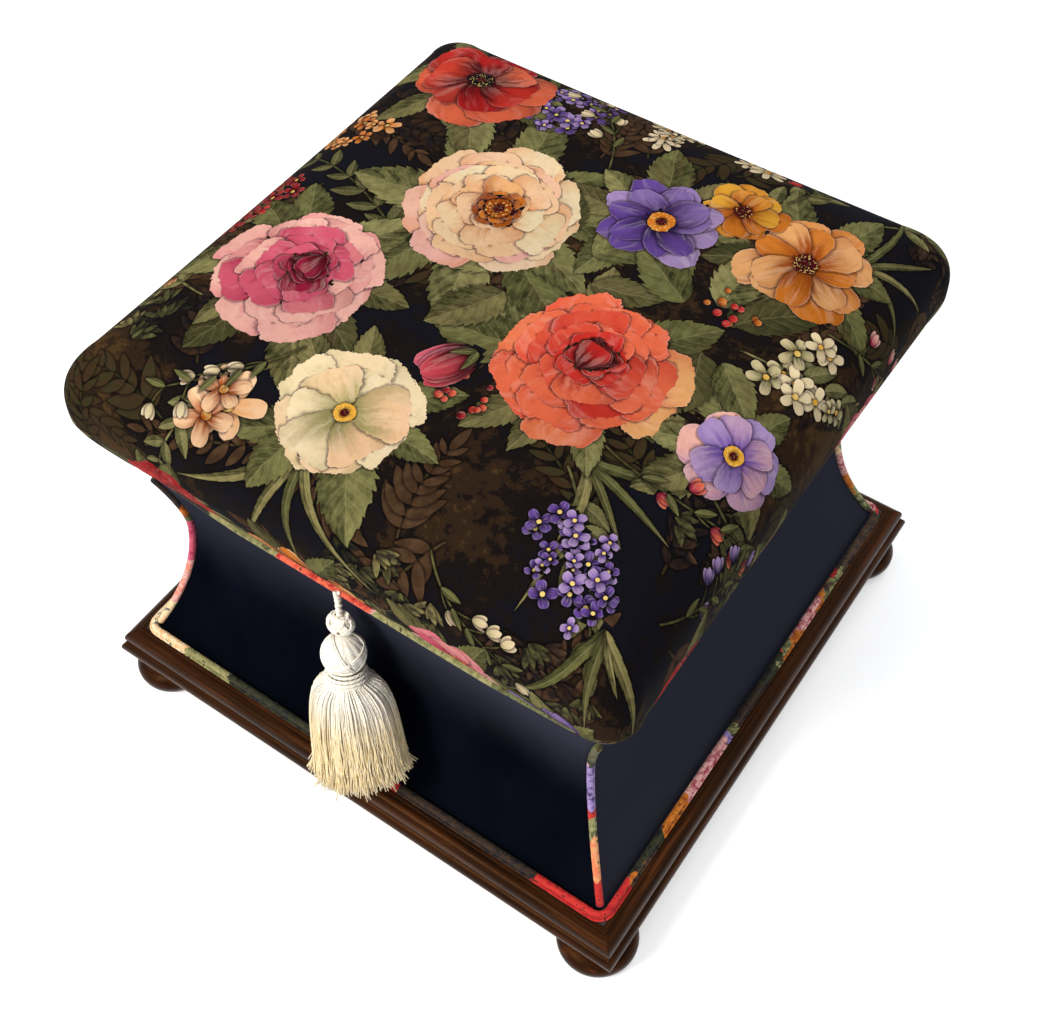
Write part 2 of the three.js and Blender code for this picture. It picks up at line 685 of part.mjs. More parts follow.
function makeHinge() {
  const pitch = hingeLength / knuckleCount;
  const width = pitch - knuckleGap;
  const bore = roundOutline(hingePinRadius + fitGap, knuckleSides);
  const reach = knuckleRadius + fitGap;
  const clear = leafWidth - reach; // the leaf's width short of the other leaf's knuckles

  const along = (shape, length, x) =>
    new THREE.ExtrudeGeometry(shape, { depth: length, bevelEnabled: false })
      .rotateX(quarterTurn)
      .rotateZ(quarterTurn)
      .translate(x - length / 2, hingeAxisY, hingeAxisZ);

  function leaf(name, lowZ, oddKnuckles, down) {
    const middleY = hingeAxisY - reach - clear / 2;
    const plate = block(hingeLength, clear, lowZ, lowZ + leafThickness, 0, middleY);
    const own = count(knuckleCount)
      .filter((i) => (i % 2 === 1) === oddKnuckles)
      .map((i) => (i - (knuckleCount - 1) / 2) * pitch);
    const barrel = new THREE.Shape(roundOutline(knuckleRadius, knuckleSides));
    const pieces = own.flatMap((x) => [
      along(barrel, width, x),
      block(width, 2 * reach, lowZ, lowZ + leafThickness, x, hingeAxisY - reach),
    ]);
    const boreCut = along(new THREE.Shape(bore), hingeLength + overrun, 0);
    place(name, cutFrom(joined([plate, ...pieces]), [boreCut, ...screwHoles(down)]), brass);
  }
  leaf("hinge_box_leaf", boxLeafZ, false, true);
  leaf("hinge_lid_leaf", lidLeafZ, true, false);
  const pinShape = new THREE.Shape(roundOutline(hingePinRadius, knuckleSides));
  place("hinge_pin", along(pinShape, hingeLength, 0), brass);

  for (const [i, x] of hingeScrewPlaces.entries()) {
    place("box_hinge_screw_" + (i + 1), screwAt(x, true), brass);
    place("lid_hinge_screw_" + (i + 1), screwAt(x, false), brass);
  }
}

// A wound cord round the tassel's neck, as one unbroken helix
function neckBinding(middleZ) {
  const radius = neckRadius + fitGap + bindingRadius;
  const steps = bindingTurns * bindingStepsPerTurn;
  const points = count(steps + 1).map((i) => {
    const angle = (i / bindingStepsPerTurn) * 2 * Math.PI;
    const z = middleZ + (i / steps - 1 / 2) * bindingTurns * bindingPitch;
    return new THREE.Vector3(radius * Math.cos(angle), radius * Math.sin(angle), z);
  });
  let least = Infinity;
  for (const i of count(points.length)) {
    for (const j of count(points.length).slice(i + bindingStepsPerTurn / 2)) {
      least = Math.min(least, points[i].distanceTo(points[j]));
    }
  }
  console.log("tassel_neck least gap to itself " + (least - 2 * bindingRadius).toFixed(2) + " mm");
  return tube(new THREE.CatmullRomCurve3(points), bindingRadius, steps, bindingSides);
}

// The cord's free end, rounded where it bends, and the knot that it is wound into
function cordForm(knotMiddle) {
  const cordFlatTop = (-knotHeight / 2) * Math.sqrt(1 - (cordRadius / knotRadius) ** 2);
  const profile = [
    ...arc(0, 0, cordRadius, cordRadius, 0.8, 0),
    [cordRadius, knotMiddle - cordFlatTop],
    ...arc(0, knotMiddle, knotRadius, knotHeight / 2, 0.8, -0.9),
  ];
  const rows = profile.map(([reach, z]) => {
    const fullness = Math.max(0, (reach - cordRadius) / (knotRadius - cordRadius));
    const flat = 1 - (1 - knotDepthShare) * fullness;
    return roundOutline(reach, tasselSegments).map((p) => new THREE.Vector3(p.x, p.y * flat, z));
  });
  return loft(rows, flatRing(rows[0]));
}

// The skirt of loose threads: round at the neck, flattened and lightly fluted towards the hem
function skirtForm(topZ) {
  const neckDepth = neckHeight + fitGap + bindingRadius;
  const fallShares = [
    [0.01, 0.56], [0.04, 0.7], [0.13, 0.8], [0.33, 0.89], [0.55, 0.95], [0.78, 0.99], [0.92, 1],
    [0.98, 0.96], [1, 0.86],
  ];
  const levels = [
    [0, neckRadius],
    [neckDepth, neckRadius],
    ...fallShares.map(([down, share]) => [
      neckDepth + (skirtLength - neckDepth) * down,
      skirtHalfWidth * share,
    ]),
  ];
  const around = 2 * fluteCount;
  const rows = levels.map(([depth, half]) => {
    const fullness = (half - neckRadius) / (skirtHalfWidth - neckRadius);
    const flat = 1 - (1 - skirtDepthShare) * fullness;
    return count(around).map((i) => {
      const angle = (i / around) * 2 * Math.PI;
      const reach = half - fluteDepth * fullness * (i % 2);
      return new THREE.Vector3(reach * Math.cos(angle), reach * flat * Math.sin(angle), topZ - depth);
    });
  });
  return loft(rows, flatRing(rows[0]));
}

function makeTassel() {
  const loopTop = new THREE.Vector3(tasselOffset, tasselPivotY, coverUnderZ - fitGap);
  const loopEnd = new THREE.Vector3(tasselOffset, tasselPivotY, tasselPivotZ + cordRadius + fitGap);
  const loopRoute = new THREE.LineCurve3(loopTop, loopEnd);
  place("tassel_loop", tube(loopRoute, cordRadius, 1, pipingSides), silk);

  const hanging = new THREE.Group();
  hanging.position.set(tasselOffset, tasselPivotY, tasselPivotZ);
  hanging.rotation.set(-tasselLean, -tasselTilt, 0);
  stool.add(hanging);

  const knotMiddle = -cordLength - knotHeight / 2;
  const headTop = -cordLength - knotHeight - fitGap;
  const headMiddle = headTop - headHeight / 2;
  const skirtTop = headTop - headHeight - fitGap;
  place("tassel_cord", cordForm(knotMiddle), silk, hanging);
  const headProfile = arc(0, headMiddle, headRadius, headHeight / 2, -1, 1, 2 * arcSteps);
  place("tassel_head", turnedForm(headProfile, tasselSegments), silk, hanging);
  place("tassel_skirt", skirtForm(skirtTop), silk, hanging);
  place("tassel_neck", neckBinding(skirtTop - neckHeight / 2), silk, hanging);
}

makeFeet();
makePlinth();
makeCornerBlocks();
makeBox();
makeCornerFormers();
makeSidePanels();
makeRim();
makeVelvet();
makePiping();
makeLid();
makeHinge();
makeTassel();

export default stool;
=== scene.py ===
import math
import bpy
import bmesh
import numpy as np
from mathutils import Matrix, Vector


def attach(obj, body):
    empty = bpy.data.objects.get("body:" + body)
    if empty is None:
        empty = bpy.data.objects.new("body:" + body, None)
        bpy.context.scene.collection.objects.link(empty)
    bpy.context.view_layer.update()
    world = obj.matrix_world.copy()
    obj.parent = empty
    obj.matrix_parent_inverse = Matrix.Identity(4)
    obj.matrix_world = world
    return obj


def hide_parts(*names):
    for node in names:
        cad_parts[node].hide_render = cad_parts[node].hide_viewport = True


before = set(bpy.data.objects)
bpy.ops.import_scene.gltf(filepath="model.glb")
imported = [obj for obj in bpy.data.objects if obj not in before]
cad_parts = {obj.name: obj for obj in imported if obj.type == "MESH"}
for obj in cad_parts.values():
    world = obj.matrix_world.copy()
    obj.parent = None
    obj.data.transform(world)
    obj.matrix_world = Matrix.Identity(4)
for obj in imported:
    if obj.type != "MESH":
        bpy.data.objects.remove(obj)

# A square box footstool: printed cushion lid, velvet sides, covered piping, mahogany plinth, silk tassel.
# Lengths are in millimetres, with the front towards -Y, and only the finished meshes are in metres.
mm = 0.001
fullTurn = 2 * math.pi
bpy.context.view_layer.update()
scene = bpy.context.scene


class Value: # a socket that can be reckoned with
    def __init__(self, shader, socket):
        self.shader = shader
        self.socket = socket

    def __add__(self, other):
        return self.shader.math("ADD", self, other)

    def __radd__(self, other):
        return self.shader.math("ADD", other, self)

    def __sub__(self, other):
        return self.shader.math("SUBTRACT", self, other)

    def __rsub__(self, other):
        return self.shader.math("SUBTRACT", other, self)

    def __mul__(self, other):
        return self.shader.math("MULTIPLY", self, other)

    def __rmul__(self, other):
        return self.shader.math("MULTIPLY", other, self)

    def __truediv__(self, other):
        return self.shader.math("DIVIDE", self, other)

    def __pow__(self, other):
        return self.shader.math("POWER", self, other)

    def __abs__(self):
        return self.shader.math("ABSOLUTE", self)

    def atLeast(self, low):
        return self.shader.math("MAXIMUM", self, low)

    def atMost(self, high):
        return self.shader.math("MINIMUM", self, high)

    def fraction(self):
        return self.shader.math("FRACT", self)

    def sine(self):
        return self.shader.math("SINE", self)

    def smooth(self, low, high): # 0 at low and 1 at high, which may be the smaller
        return self.shader.node("ShaderNodeMapRange", {"interpolation_type": "SMOOTHSTEP"},
                                {0: self, 1: min(low, high), 2: max(low, high),
                                 3: float(low > high), 4: float(low < high)})

    def parts(self): # x, y and z
        split = self.shader.node("ShaderNodeSeparateXYZ", {}, {0: self})
        return [Value(self.shader, out) for out in split.socket.node.outputs]

    def other(self, name):
        return Value(self.shader, self.socket.node.outputs[name])


class Shader:
    def __init__(self, owner):
        self.material = owner
        owner.use_nodes = True
        self.tree = owner.node_tree
        self.tree.nodes.clear()

    def feed(self, slot, value):
        if isinstance(value, Value):
            self.tree.links.new(value.socket, slot)
        elif slot.type == "RGBA" and len(value) == 3:
            slot.default_value = (*value, 1)
        else:
            slot.default_value = value

    def node(self, kind, settings=None, sockets=None, output=0):
        node = self.tree.nodes.new(kind)
        for name, value in (settings or {}).items():
            if name == "stops":
                ramp = node.color_ramp
                while len(ramp.elements) < len(value):
                    ramp.elements.new(1)
                for element, (place, colour) in zip(ramp.elements, value):
                    element.position = place
                    element.color = (*colour, 1)
            elif name == "between":
                node.color_ramp.interpolation = value
            else:
                setattr(node, name, value)
        for name, value in (sockets or {}).items():
            self.feed(node.inputs[name], value)
        return Value(self, node.outputs[output]) if node.outputs else None

    def math(self, operation, *values):
        return self.node("ShaderNodeMath", {"operation": operation}, dict(enumerate(values)))

    def place(self): # millimetres in the piece's own frame
        return self.scaled(self.node("ShaderNodeTexCoord", output="Object"), (1000, 1000, 1000))

    def scaled(self, vector, by):
        return self.node("ShaderNodeVectorMath", {"operation": "MULTIPLY"}, {0: vector, 1: by})

    def moved(self, vector, by):
        return self.node("ShaderNodeVectorMath", {"operation": "ADD"}, {0: vector, 1: by})

    def vector(self, x, y, z):
        return self.node("ShaderNodeCombineXYZ", {}, {0: x, 1: y, 2: z})

    def noise(self, at, scale, detail=2.0, rough=0.5, output=0):
        sockets = {"Vector": at, "Scale": scale, "Detail": detail, "Roughness": rough}
        return self.node("ShaderNodeTexNoise", {}, sockets, output)

    def mix(self, factor, a, b, blend="MIX"):
        return self.node("ShaderNodeMix", {"data_type": "RGBA", "blend_type": blend},
                         {0: factor, 6: a, 7: b}, 2)

    def dimmed(self, colour, by):
        return self.mix(1, colour, by, "MULTIPLY")

    def bump(self, height, strength, distance):
        sockets = {"Height": height, "Strength": strength, "Distance": distance * mm}
        return self.node("ShaderNodeBump", {}, sockets)

    def coat(self, **sockets): # the surface itself
        names = {name.replace("_", " "): value for name, value in sockets.items()}
        surface = self.node("ShaderNodeBsdfPrincipled", {}, names)
        self.node("ShaderNodeOutputMaterial", {}, {"Surface": surface})
        return self.material


def newShader(name):
    return Shader(bpy.data.materials.new(name))


def ink(text): # a colour as written, in linear light
    channels = [int(text[i:i + 2], 16) / 255 for i in (0, 2, 4)]
    return tuple(c / 12.92 if c <= 0.04045 else ((c + 0.055) / 1.055) ** 2.4 for c in channels)


finishes = {}


def addPiece(name, points, faces, finish, body, replaced=(), uv=None, slot=None, turnOut=True):
    mesh = bpy.data.meshes.new(name)
    mesh.from_pydata(np.asarray(points, float).reshape(-1, 3) * mm, [], faces)
    if uv is not None:
        mesh.uv_layers.new(name="OFBake").data.foreach_set("uv", np.asarray(uv, np.float32).ravel())
    if turnOut: # faces outward
        made = bmesh.new()
        made.from_mesh(mesh)
        bmesh.ops.recalc_face_normals(made, faces=made.faces)
        made.to_mesh(mesh)
        made.free()
    mesh.polygons.foreach_set("use_smooth", [True] * len(mesh.polygons))
    mesh.materials.append(finishes[finish])
    piece = bpy.data.objects.new(name, mesh)
    scene.collection.objects.link(piece)
    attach(piece, body)
    if replaced:
        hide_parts(*replaced)
    return piece


def gridCells(rows, columns, closed):
    across = columns if closed else columns - 1
    return (*np.meshgrid(np.arange(rows - 1), np.arange(across), indexing="ij"), across)


def sheetFaces(rows, columns, closed=False): # quads of a grid of points, row after row
    i, j, _ = gridCells(rows, columns, closed)
    k = (j + 1) % columns
    corners = [i * columns + j, i * columns + k, (i + 1) * columns + k, (i + 1) * columns + j]
    return np.stack(corners, -1).reshape(-1, 4).tolist()


def sheetUv(rows, columns, closed=False):
    i, j, across = gridCells(rows, columns, closed)
    steps = ((0, 0), (0, 1), (1, 1), (1, 0))
    corners = [np.stack([(j + b) / across, (i + a) / (rows - 1)], -1) for a, b in steps]
    return np.stack(corners, 2).reshape(-1, 4, 2)


def shellFaces(rows, columns): # rings of points with a flat face at each end
    last = (rows - 1) * columns
    return [*sheetFaces(rows, columns, True), list(range(columns)), list(range(last, last + columns))]


def unit(vectors):
    return vectors / np.maximum(np.linalg.norm(vectors, axis=-1, keepdims=True), 1e-9)


def tubes(paths, radii, sides, lean=(0, 0, 1)):
    # Closed-ended tubes along (count, steps, 3) paths; lean is a direction that no path follows
    paths = np.asarray(paths, float)
    many, steps = paths.shape[:2]
    along = unit(np.gradient(paths, axis=1))
    first = unit(np.cross(along, np.broadcast_to(np.asarray(lean, float), along.shape)))
    second = np.cross(along, first)
    turn = np.arange(sides) / sides * fullTurn
    reach = np.broadcast_to(np.asarray(radii, float), (many, steps))[..., None, None]
    spokes = first[:, :, None] * np.cos(turn)[:, None] + second[:, :, None] * np.sin(turn)[:, None]
    ring = paths[:, :, None] + reach * spokes
    one = np.array(sheetFaces(steps, sides, True))
    faces = (one[None] + (np.arange(many) * steps * sides)[:, None, None]).reshape(-1, 4).tolist()
    flat = sheetUv(steps, sides, True) * (0.9 / many, 0.94) # each tube has a strip of the map
    uv = [(flat + ((t + 0.05) / many, 0.03)).reshape(-1, 2) for t in range(many)]
    for t in range(many):
        for row, v in ((0, 0.015), (steps - 1, 0.985)):
            start = (t * steps + row) * sides
            faces.append(list(range(start, start + sides)))
            uv.append(np.stack([(t + 0.5) / many + 0.3 / many * np.cos(turn), v + 0.01 * np.sin(turn)], -1))
    return ring.reshape(-1, 3), faces, np.concatenate(uv)


def ringPoints(half, corner, share, ear=0.0, drawn=0.0):
    # A point of a rounded square's front side and the halves of its two corners, share from -1 to 1
    flat = half - corner
    run = np.abs(share) * (flat + corner * math.pi / 4)
    over = np.clip((run - flat) / corner, 0, math.pi / 4)
    reach = corner + ear * np.sin(2 * over)
    along = np.where(run <= flat, run, flat + reach * np.sin(over))
    inward = np.where(run <= flat, drawn * np.cos(math.pi / 2 * run / flat), 0)
    return np.sign(share) * along, flat + reach * np.cos(over) - inward, over


sideNames = ("front", "right", "back", "left")
cornerSigns = {"front_right": (1, -1), "back_right": (1, 1), "back_left": (-1, 1), "front_left": (-1, -1)}


def turned(along, outward, quarter): # side coordinates to x and y
    angle = quarter * math.pi / 2
    c, s = math.cos(angle), math.sin(angle)
    return along * c + outward * s, along * s - outward * c


def roundLoop(half, corner, spacing): # points round a rounded square, anticlockwise from the front's left
    count = int((half + corner) / spacing) * 2
    along, outward, _ = ringPoints(half, corner, (np.arange(count) / count) * 2 - 1)
    return np.concatenate([np.stack(turned(along, outward, quarter), -1) for quarter in range(4)])


def squareShell(rows, steps): # a closed form from rows of half, corner, z, ear and drawn
    share = np.linspace(-1, 1, steps + 1)[:-1]
    points = []
    for half, corner, z, *bulge in rows:
        along, outward, _ = ringPoints(half, corner, share, *bulge)
        for quarter in range(4):
            points.append(np.stack([*turned(along, outward, quarter), np.full(steps, z)], -1))
    return np.concatenate(points), shellFaces(len(rows), 4 * steps)


print("camera and light")
view = {"azimuth": 35.55, "elevation": 53.34, "roll": -1.14, "distance": 870.92, "lens": 50.09,
        "target": (11.84, -19.95, 150)}
az, el, roll = (math.radians(view[k]) for k in ("azimuth", "elevation", "roll"))
back = Vector((math.sin(az) * math.cos(el), -math.cos(az) * math.cos(el), math.sin(el)))
right = Vector((math.cos(az), math.sin(az), 0))
up = back.cross(right)
right, up = right * math.cos(roll) + up * math.sin(roll), up * math.cos(roll) - right * math.sin(roll)
camera = bpy.data.objects.new("camera", bpy.data.cameras.new("camera"))
camera.data.lens = view["lens"]
camera.data.sensor_width = 36
camera.data.clip_start = 0.05
facing = Matrix((right, up, back)).transposed().to_4x4()
camera.matrix_world = Matrix.Translation((Vector(view["target"]) + back * view["distance"]) * mm) @ facing
scene.collection.objects.link(camera)
scene.camera = camera
scene.view_settings.view_transform = "Standard"

lights = {
    "window": {"at": (-420, -1350, 1450), "size": 560, "watts": 33, "colour": (1, 0.97, 0.92)},
    "ceiling": {"at": (300, 500, 1900), "size": 1500, "watts": 19, "colour": (0.95, 0.97, 1)},
}
aim = Vector((0, 0, 150)) * mm
for name, each in lights.items():
    lamp = bpy.data.lights.new(name, "AREA")
    lamp.size = each["size"] * mm
    lamp.energy = each["watts"]
    lamp.color = each["colour"]
    holder = bpy.data.objects.new(name, lamp)
    holder.location = Vector(each["at"]) * mm
    holder.rotation_euler = (aim - holder.location).to_track_quat("-Z", "Y").to_euler()
    scene.collection.objects.link(holder)


def seenDirect(shader): # 1 where the camera, a reflection or glass shows it
    path = shader.node("ShaderNodeLightPath", output="Is Camera Ray")
    return (path + path.other("Is Glossy Ray") + path.other("Is Transmission Ray")).atMost(1)


room = {"level": 0.42, "tint": (0.96, 0.98, 1.0), "white": (1, 1, 1)}
scene.world = bpy.data.worlds.new("room")
sky = Shader(scene.world)
tint = tuple(c * room["level"] for c in room["tint"])
glow = sky.node("ShaderNodeBackground", {}, {"Color": sky.mix(seenDirect(sky), tint, room["white"])})
sky.node("ShaderNodeOutputWorld", {}, {"Surface": glow})

floor = {"half": 4000, "grey": 0.82, "own": 0.42, "fadeFrom": 480, "fadeTo": 1250}
paper = newShader("paper_floor")
fx, fy, _ = paper.place().parts()
away = ((fx * fx + fy * fy) ** 0.5).smooth(floor["fadeFrom"], floor["fadeTo"])
seen = seenDirect(paper)
matt = paper.node("ShaderNodeBsdfDiffuse", {}, {"Color": (floor["grey"],) * 3})
dim = paper.node("ShaderNodeEmission", {}, {"Color": paper.mix(seen, (0, 0, 0), (floor["own"],) * 3)})
near = paper.node("ShaderNodeAddShader", {}, {0: matt, 1: dim})
plain = paper.node("ShaderNodeEmission", {}, {"Color": room["white"]})
both = paper.node("ShaderNodeMixShader", {}, {0: away * seen, 1: near, 2: plain})
paper.node("ShaderNodeOutputMaterial", {}, {"Surface": both})
ground = bpy.data.meshes.new("floor")
far = floor["half"] * mm
ground.from_pydata([(-far, -far, 0), (far, -far, 0), (far, far, 0), (-far, far, 0)], [], [(0, 1, 2, 3)])
ground.materials.append(paper.material)
groundPiece = bpy.data.objects.new("floor", ground)
scene.collection.objects.link(groundPiece)


print("materials")
wood = {"dark": "190d07", "brown": "391e0d", "warm": "5c321a", "pores": "100806", "gloss": "b07a4e"}


def makeMahogany():
    s = newShader("mahogany")
    at = s.place()
    x, y, z = at.parts()
    across = (abs(y) - abs(x)).smooth(-1.5, 1.5) # 1 on the front and back rails
    run = s.mix(across, s.vector(y, x, z), s.vector(x, y, z)) # grain along each rail
    grain = s.noise(s.scaled(run, (0.012, 0.22, 0.3)), 1, 5, 0.62)
    pores = s.noise(s.scaled(run, (0.05, 1.6, 2.2)), 1, 3, 0.6)
    cloud = s.noise(at, 0.018, 2)
    tone = s.mix((grain * 1.3 + cloud * 0.5 - 0.45).smooth(0.15, 0.75), ink(wood["dark"]), ink(wood["brown"]))
    tone = s.mix((grain - 0.52).smooth(0.0, 0.16) * 0.5, tone, ink(wood["warm"]))
    tone = s.mix(pores.smooth(0.42, 0.28) * 0.55, tone, ink(wood["pores"]))
    rough = 0.2 + 0.16 * s.noise(at, 0.09, 3) + 0.08 * pores
    ripple = s.noise(s.scaled(run, (0.02, 0.12, 0.12)), 1, 2)
    return s.coat(Base_Color=tone, Roughness=rough, Normal=s.bump(pores * 0.25 + ripple, 0.25, 0.25),
                  Specular_IOR_Level=0.15, Specular_Tint=(*ink(wood["gloss"]), 1))


# the lightest tone is painted sheen, laid on the right face and, between the two heights, on the front's
# upper right
pile = {"night": "04060c", "lit": "090c15", "fleck": "10131f", "paintedSheen": "33343f", "sheen": 0.16,
        "tint": "6a7290", "paintedSheenFromZ": 128, "paintedSheenToZ": 200}


def makeVelvet():
    s = newShader("velvet")
    at = s.place()
    brushed = s.noise(s.scaled(at, (0.014, 0.014, 0.008)), 1, 3, 0.6)
    fleck = s.noise(at, 2.1, 2)
    tone = s.mix(brushed.smooth(0.35, 0.7), ink(pile["night"]), ink(pile["lit"]))
    tone = s.mix(fleck.smooth(0.35, 0.8) * 0.22, tone, ink(pile["fleck"]))
    x, y, z = at.parts()
    # painted sheen masks: all of the right face, and the upper part of the front, more towards its right
    right = (x - abs(y)).smooth(-4, 4) * 0.75
    front = (0 - y - abs(x)).smooth(-4, 4) * (0.6 + 0.4 * x.smooth(-15, 60))
    upperPaintedSheen = front * (z + 24 * brushed).smooth(pile["paintedSheenFromZ"], pile["paintedSheenToZ"]) * 0.85
    tone = s.mix(right.atLeast(upperPaintedSheen), tone, ink(pile["paintedSheen"])) # painted sheen: lighter on the right face and on the front's upper right, where the pile catches the light
    return s.coat(Base_Color=tone, Roughness=0.82 + 0.12 * brushed, Normal=s.bump(fleck, 0.3, 0.25),
                  Sheen_Weight=pile["sheen"], Sheen_Roughness=0.3, Sheen_Tint=(*ink(pile["tint"]), 1),
                  Specular_IOR_Level=0)


rawWood = {"ply": ("b98d58", "d8b47c", "8c6236"), "plyFromEdge": 166, "pine": ("d9b27a", "b9874c", "e6c795")}


def makePlywood():
    s = newShader("plywood")
    at = s.place()
    x, y, z = at.parts()
    dark, light, glue = (ink(text) for text in rawWood["ply"])
    grain = s.noise(s.scaled(at, (0.02, 0.3, 0.25)), 1, 5, 0.6)
    tone = s.mix(grain.smooth(0.3, 0.75), dark, light)
    tone = s.mix((z * 0.6).fraction().smooth(0.4, 0.6) * 0.25, tone, glue)
    edge = rawWood["plyFromEdge"] # the base board's rim is stained beside the plinth
    tone = s.mix(abs(x).atLeast(abs(y)).smooth(edge, edge + 1.5), tone, ink(wood["dark"]))
    return s.coat(Base_Color=tone, Roughness=0.62 + 0.2 * grain, Normal=s.bump(grain, 0.2, 0.2))


def makeSoftwood():
    s = newShader("softwood")
    at = s.place()
    early, late, pale = (ink(text) for text in rawWood["pine"])
    grain = s.noise(s.scaled(at, (0.015, 0.09, 0.16)), 1, 2, 0.5)
    fibre = s.noise(s.scaled(at, (0.08, 1.4, 1.4)), 1, 3)
    tone = s.mix((grain * 14).fraction().smooth(0.1, 0.95), early, late)
    tone = s.mix(fibre.smooth(0.4, 0.7) * 0.3, tone, pale)
    return s.coat(Base_Color=tone, Roughness=0.6 + 0.2 * fibre, Normal=s.bump(fibre, 0.2, 0.2))


def makeBrass():
    s = newShader("brass")
    at = s.place()
    brushed = s.noise(s.scaled(at, (0.08, 3, 3)), 1, 3)
    stain = s.noise(at, 0.14, 4, 0.6)
    tone = s.mix(stain.smooth(0.35, 0.75), ink("b8924a"), ink("7d5a26"))
    return s.coat(Base_Color=tone, Metallic=1.0, Roughness=0.22 + 0.2 * brushed + 0.15 * stain,
                  Normal=s.bump(brushed, 0.15, 0.1))


def makeLining():
    s = newShader("lining")
    at = s.place()
    x, y, z = at.parts()
    weave = ((x + y * 0.3) * 5.2).sine() * ((z + y) * 5.2).sine() * 0.5 + 0.5
    cloud = s.noise(at, 0.05, 3)
    tone = s.mix(cloud.smooth(0.3, 0.75), ink("15161c"), ink("23252e"))
    tone = s.mix(weave * 0.35, tone, ink("30333f"))
    return s.coat(Base_Color=tone, Roughness=0.78 + 0.12 * cloud, Normal=s.bump(weave, 0.3, 0.15),
                  Sheen_Weight=0.15)


def makeFoam():
    s = newShader("foam")
    cells = s.node("ShaderNodeTexVoronoi", {}, {"Vector": s.place(), "Scale": 0.7})
    tone = s.mix(cells.smooth(0.2, 0.8), ink("c9bb86"), ink("ebe0b4"))
    return s.coat(Base_Color=tone, Roughness=0.93, Normal=s.bump(cells, 0.4, 0.5))


# one brown here is painted shade, mixed into the silk of the cores that lie among the threads
thread = {"shade": "c9b583", "cream": "f7eedb", "bright": "fffcf6", "straw": "f0d698", "shadedCore": "8a7448",
          "strawFromZ": 152, "strawToZ": 120}


def makeSilk(name, dim=0.0):
    s = newShader(name)
    at = s.place()
    _, _, z = at.parts()
    strand = s.noise(s.scaled(at, (1.1, 1.1, 0.05)), 1, 2)
    cloud = s.noise(at, 0.12, 2)
    hem = z.smooth(thread["strawFromZ"], thread["strawToZ"]) # yellower towards the hem
    tone = s.mix(strand.smooth(0.3, 0.7), ink(thread["cream"]), ink(thread["bright"]))
    tone = s.mix(hem * (0.5 + strand.smooth(0.35, 0.65) * 0.5), tone, ink(thread["straw"]))
    tone = s.mix(cloud.smooth(0.5, 0.25) * 0.2, tone, ink(thread["shade"]))
    # painted shade: the silk darkened towards that brown, for what lies among and under the threads
    if dim:
        tone = s.mix(dim, tone, ink(thread["shadedCore"]))
    return s.coat(Base_Color=tone, Roughness=0.24 + 0.14 * strand, Sheen_Weight=0.1, Sheen_Roughness=0.3,
                  Specular_IOR_Level=0.85)


finishes.update({
    "mahogany": makeMahogany(), "velvet": makeVelvet(), "plywood": makePlywood(), "softwood": makeSoftwood(),
    "brass": makeBrass(), "lining": makeLining(), "foam": makeFoam(), "silk": makeSilk("silk_thread"),
    # a copy of the silk half darkened, painted shade for the cores among the threads
    "shadedCore": makeSilk("silk_core_painted_shade", 0.5),
})


# The print's motifs are drawn in the cloth's own plane, X along the front, Y towards the back
inks = {name: ink(text) for name, text in {
    "night": "0b0d17", "umber": "3b2a1c", "bark": "574230", "moss": "35361f", "sage": "6b6a42",
    "khaki": "9c9664", "oliveDeep": "2c3019", "olive": "6c7044", "oliveLight": "a3a26d", "wine": "480813",
    "red": "a3161f", "scarlet": "c8322a", "coral": "e46c4c", "roseDeep": "97193f", "rose": "cf5a76",
    "blush": "edb6ae", "amberDeep": "93430c", "amber": "d27c27", "apricot": "e8ae74", "peach": "f0c9a2",
    "cream": "ecdcb8", "ivory": "cfc49a", "plum": "2b1a4c", "violet": "63479d", "lilac": "a68fc9",
    "gold": "dfa638", "stamen": "efd684"}.items()}
kinds = {"petal": 0, "leaf": 1, "stamens": 2, "plain": 3, "glaze": 4}
motifs = []
dice = np.random.default_rng(41)
paintedSun = 2.3 # the direction that the painted light comes from


def vary(low, high):
    return dice.uniform(low, high)


def pick(choices):
    return choices[dice.integers(len(choices))]


def round360():
    return dice.uniform(0, 6.28)


def draw(x, y, angle, length, width, deep, light, root=0.7, tip=0.4, bend=0.0, kind="petal", ruffle=0.05):
    # A petal or leaf that starts at x, y; root and tip shape its outline
    fullest = (root / (root + tip)) ** root * (tip / (root + tip)) ** tip
    sun = math.cos(angle - paintedSun) if kind == "petal" else 0
    motifs.append([x, y, angle, length, width / 2 / fullest, bend, root, tip, kinds[kind], ruffle,
                   vary(0, 50), *(c * (1 + 0.25 * sun) for c in inks[deep]),
                   *(min(c * (0.96 + 0.13 * sun), 0.9) for c in inks[light])])


def disc(x, y, radius, deep, light, kind, ruffle):
    draw(x - radius, y, 0, 2 * radius, 2 * radius, deep, light, 0.5, 0.5, 0, kind, ruffle)


def blend(a, b, share): # a named ink between two others
    step = round(share * 20)
    inks.setdefault(a + b + str(step), tuple(p + (q - p) * step / 20 for p, q in zip(inks[a], inks[b])))
    return a + b + str(step)


def leaf(x, y, angle, length, tone=0.5):
    light = blend("olive", "oliveLight", tone) if dice.random() < 0.7 else blend("moss", "khaki", tone)
    width = length * vary(0.44, 0.6)
    draw(x, y, angle, length, width, "oliveDeep", light, 0.66, 0.92, vary(-0.16, 0.16), "leaf", 0.06)


def stem(x, y, angle, length, bend=0.1, width=1.5, tone="olive"): # gives back the places along it
    draw(x, y, angle, length, width, "oliveDeep", tone, 0.06, 0.12, bend, "plain", 0.0)
    c, s = math.cos(angle), math.sin(angle)
    return lambda share: (x + length * (share * c - bend * share ** 2 * s),
                          y + length * (share * s + bend * share ** 2 * c),
                          angle + math.atan(2 * bend * share))


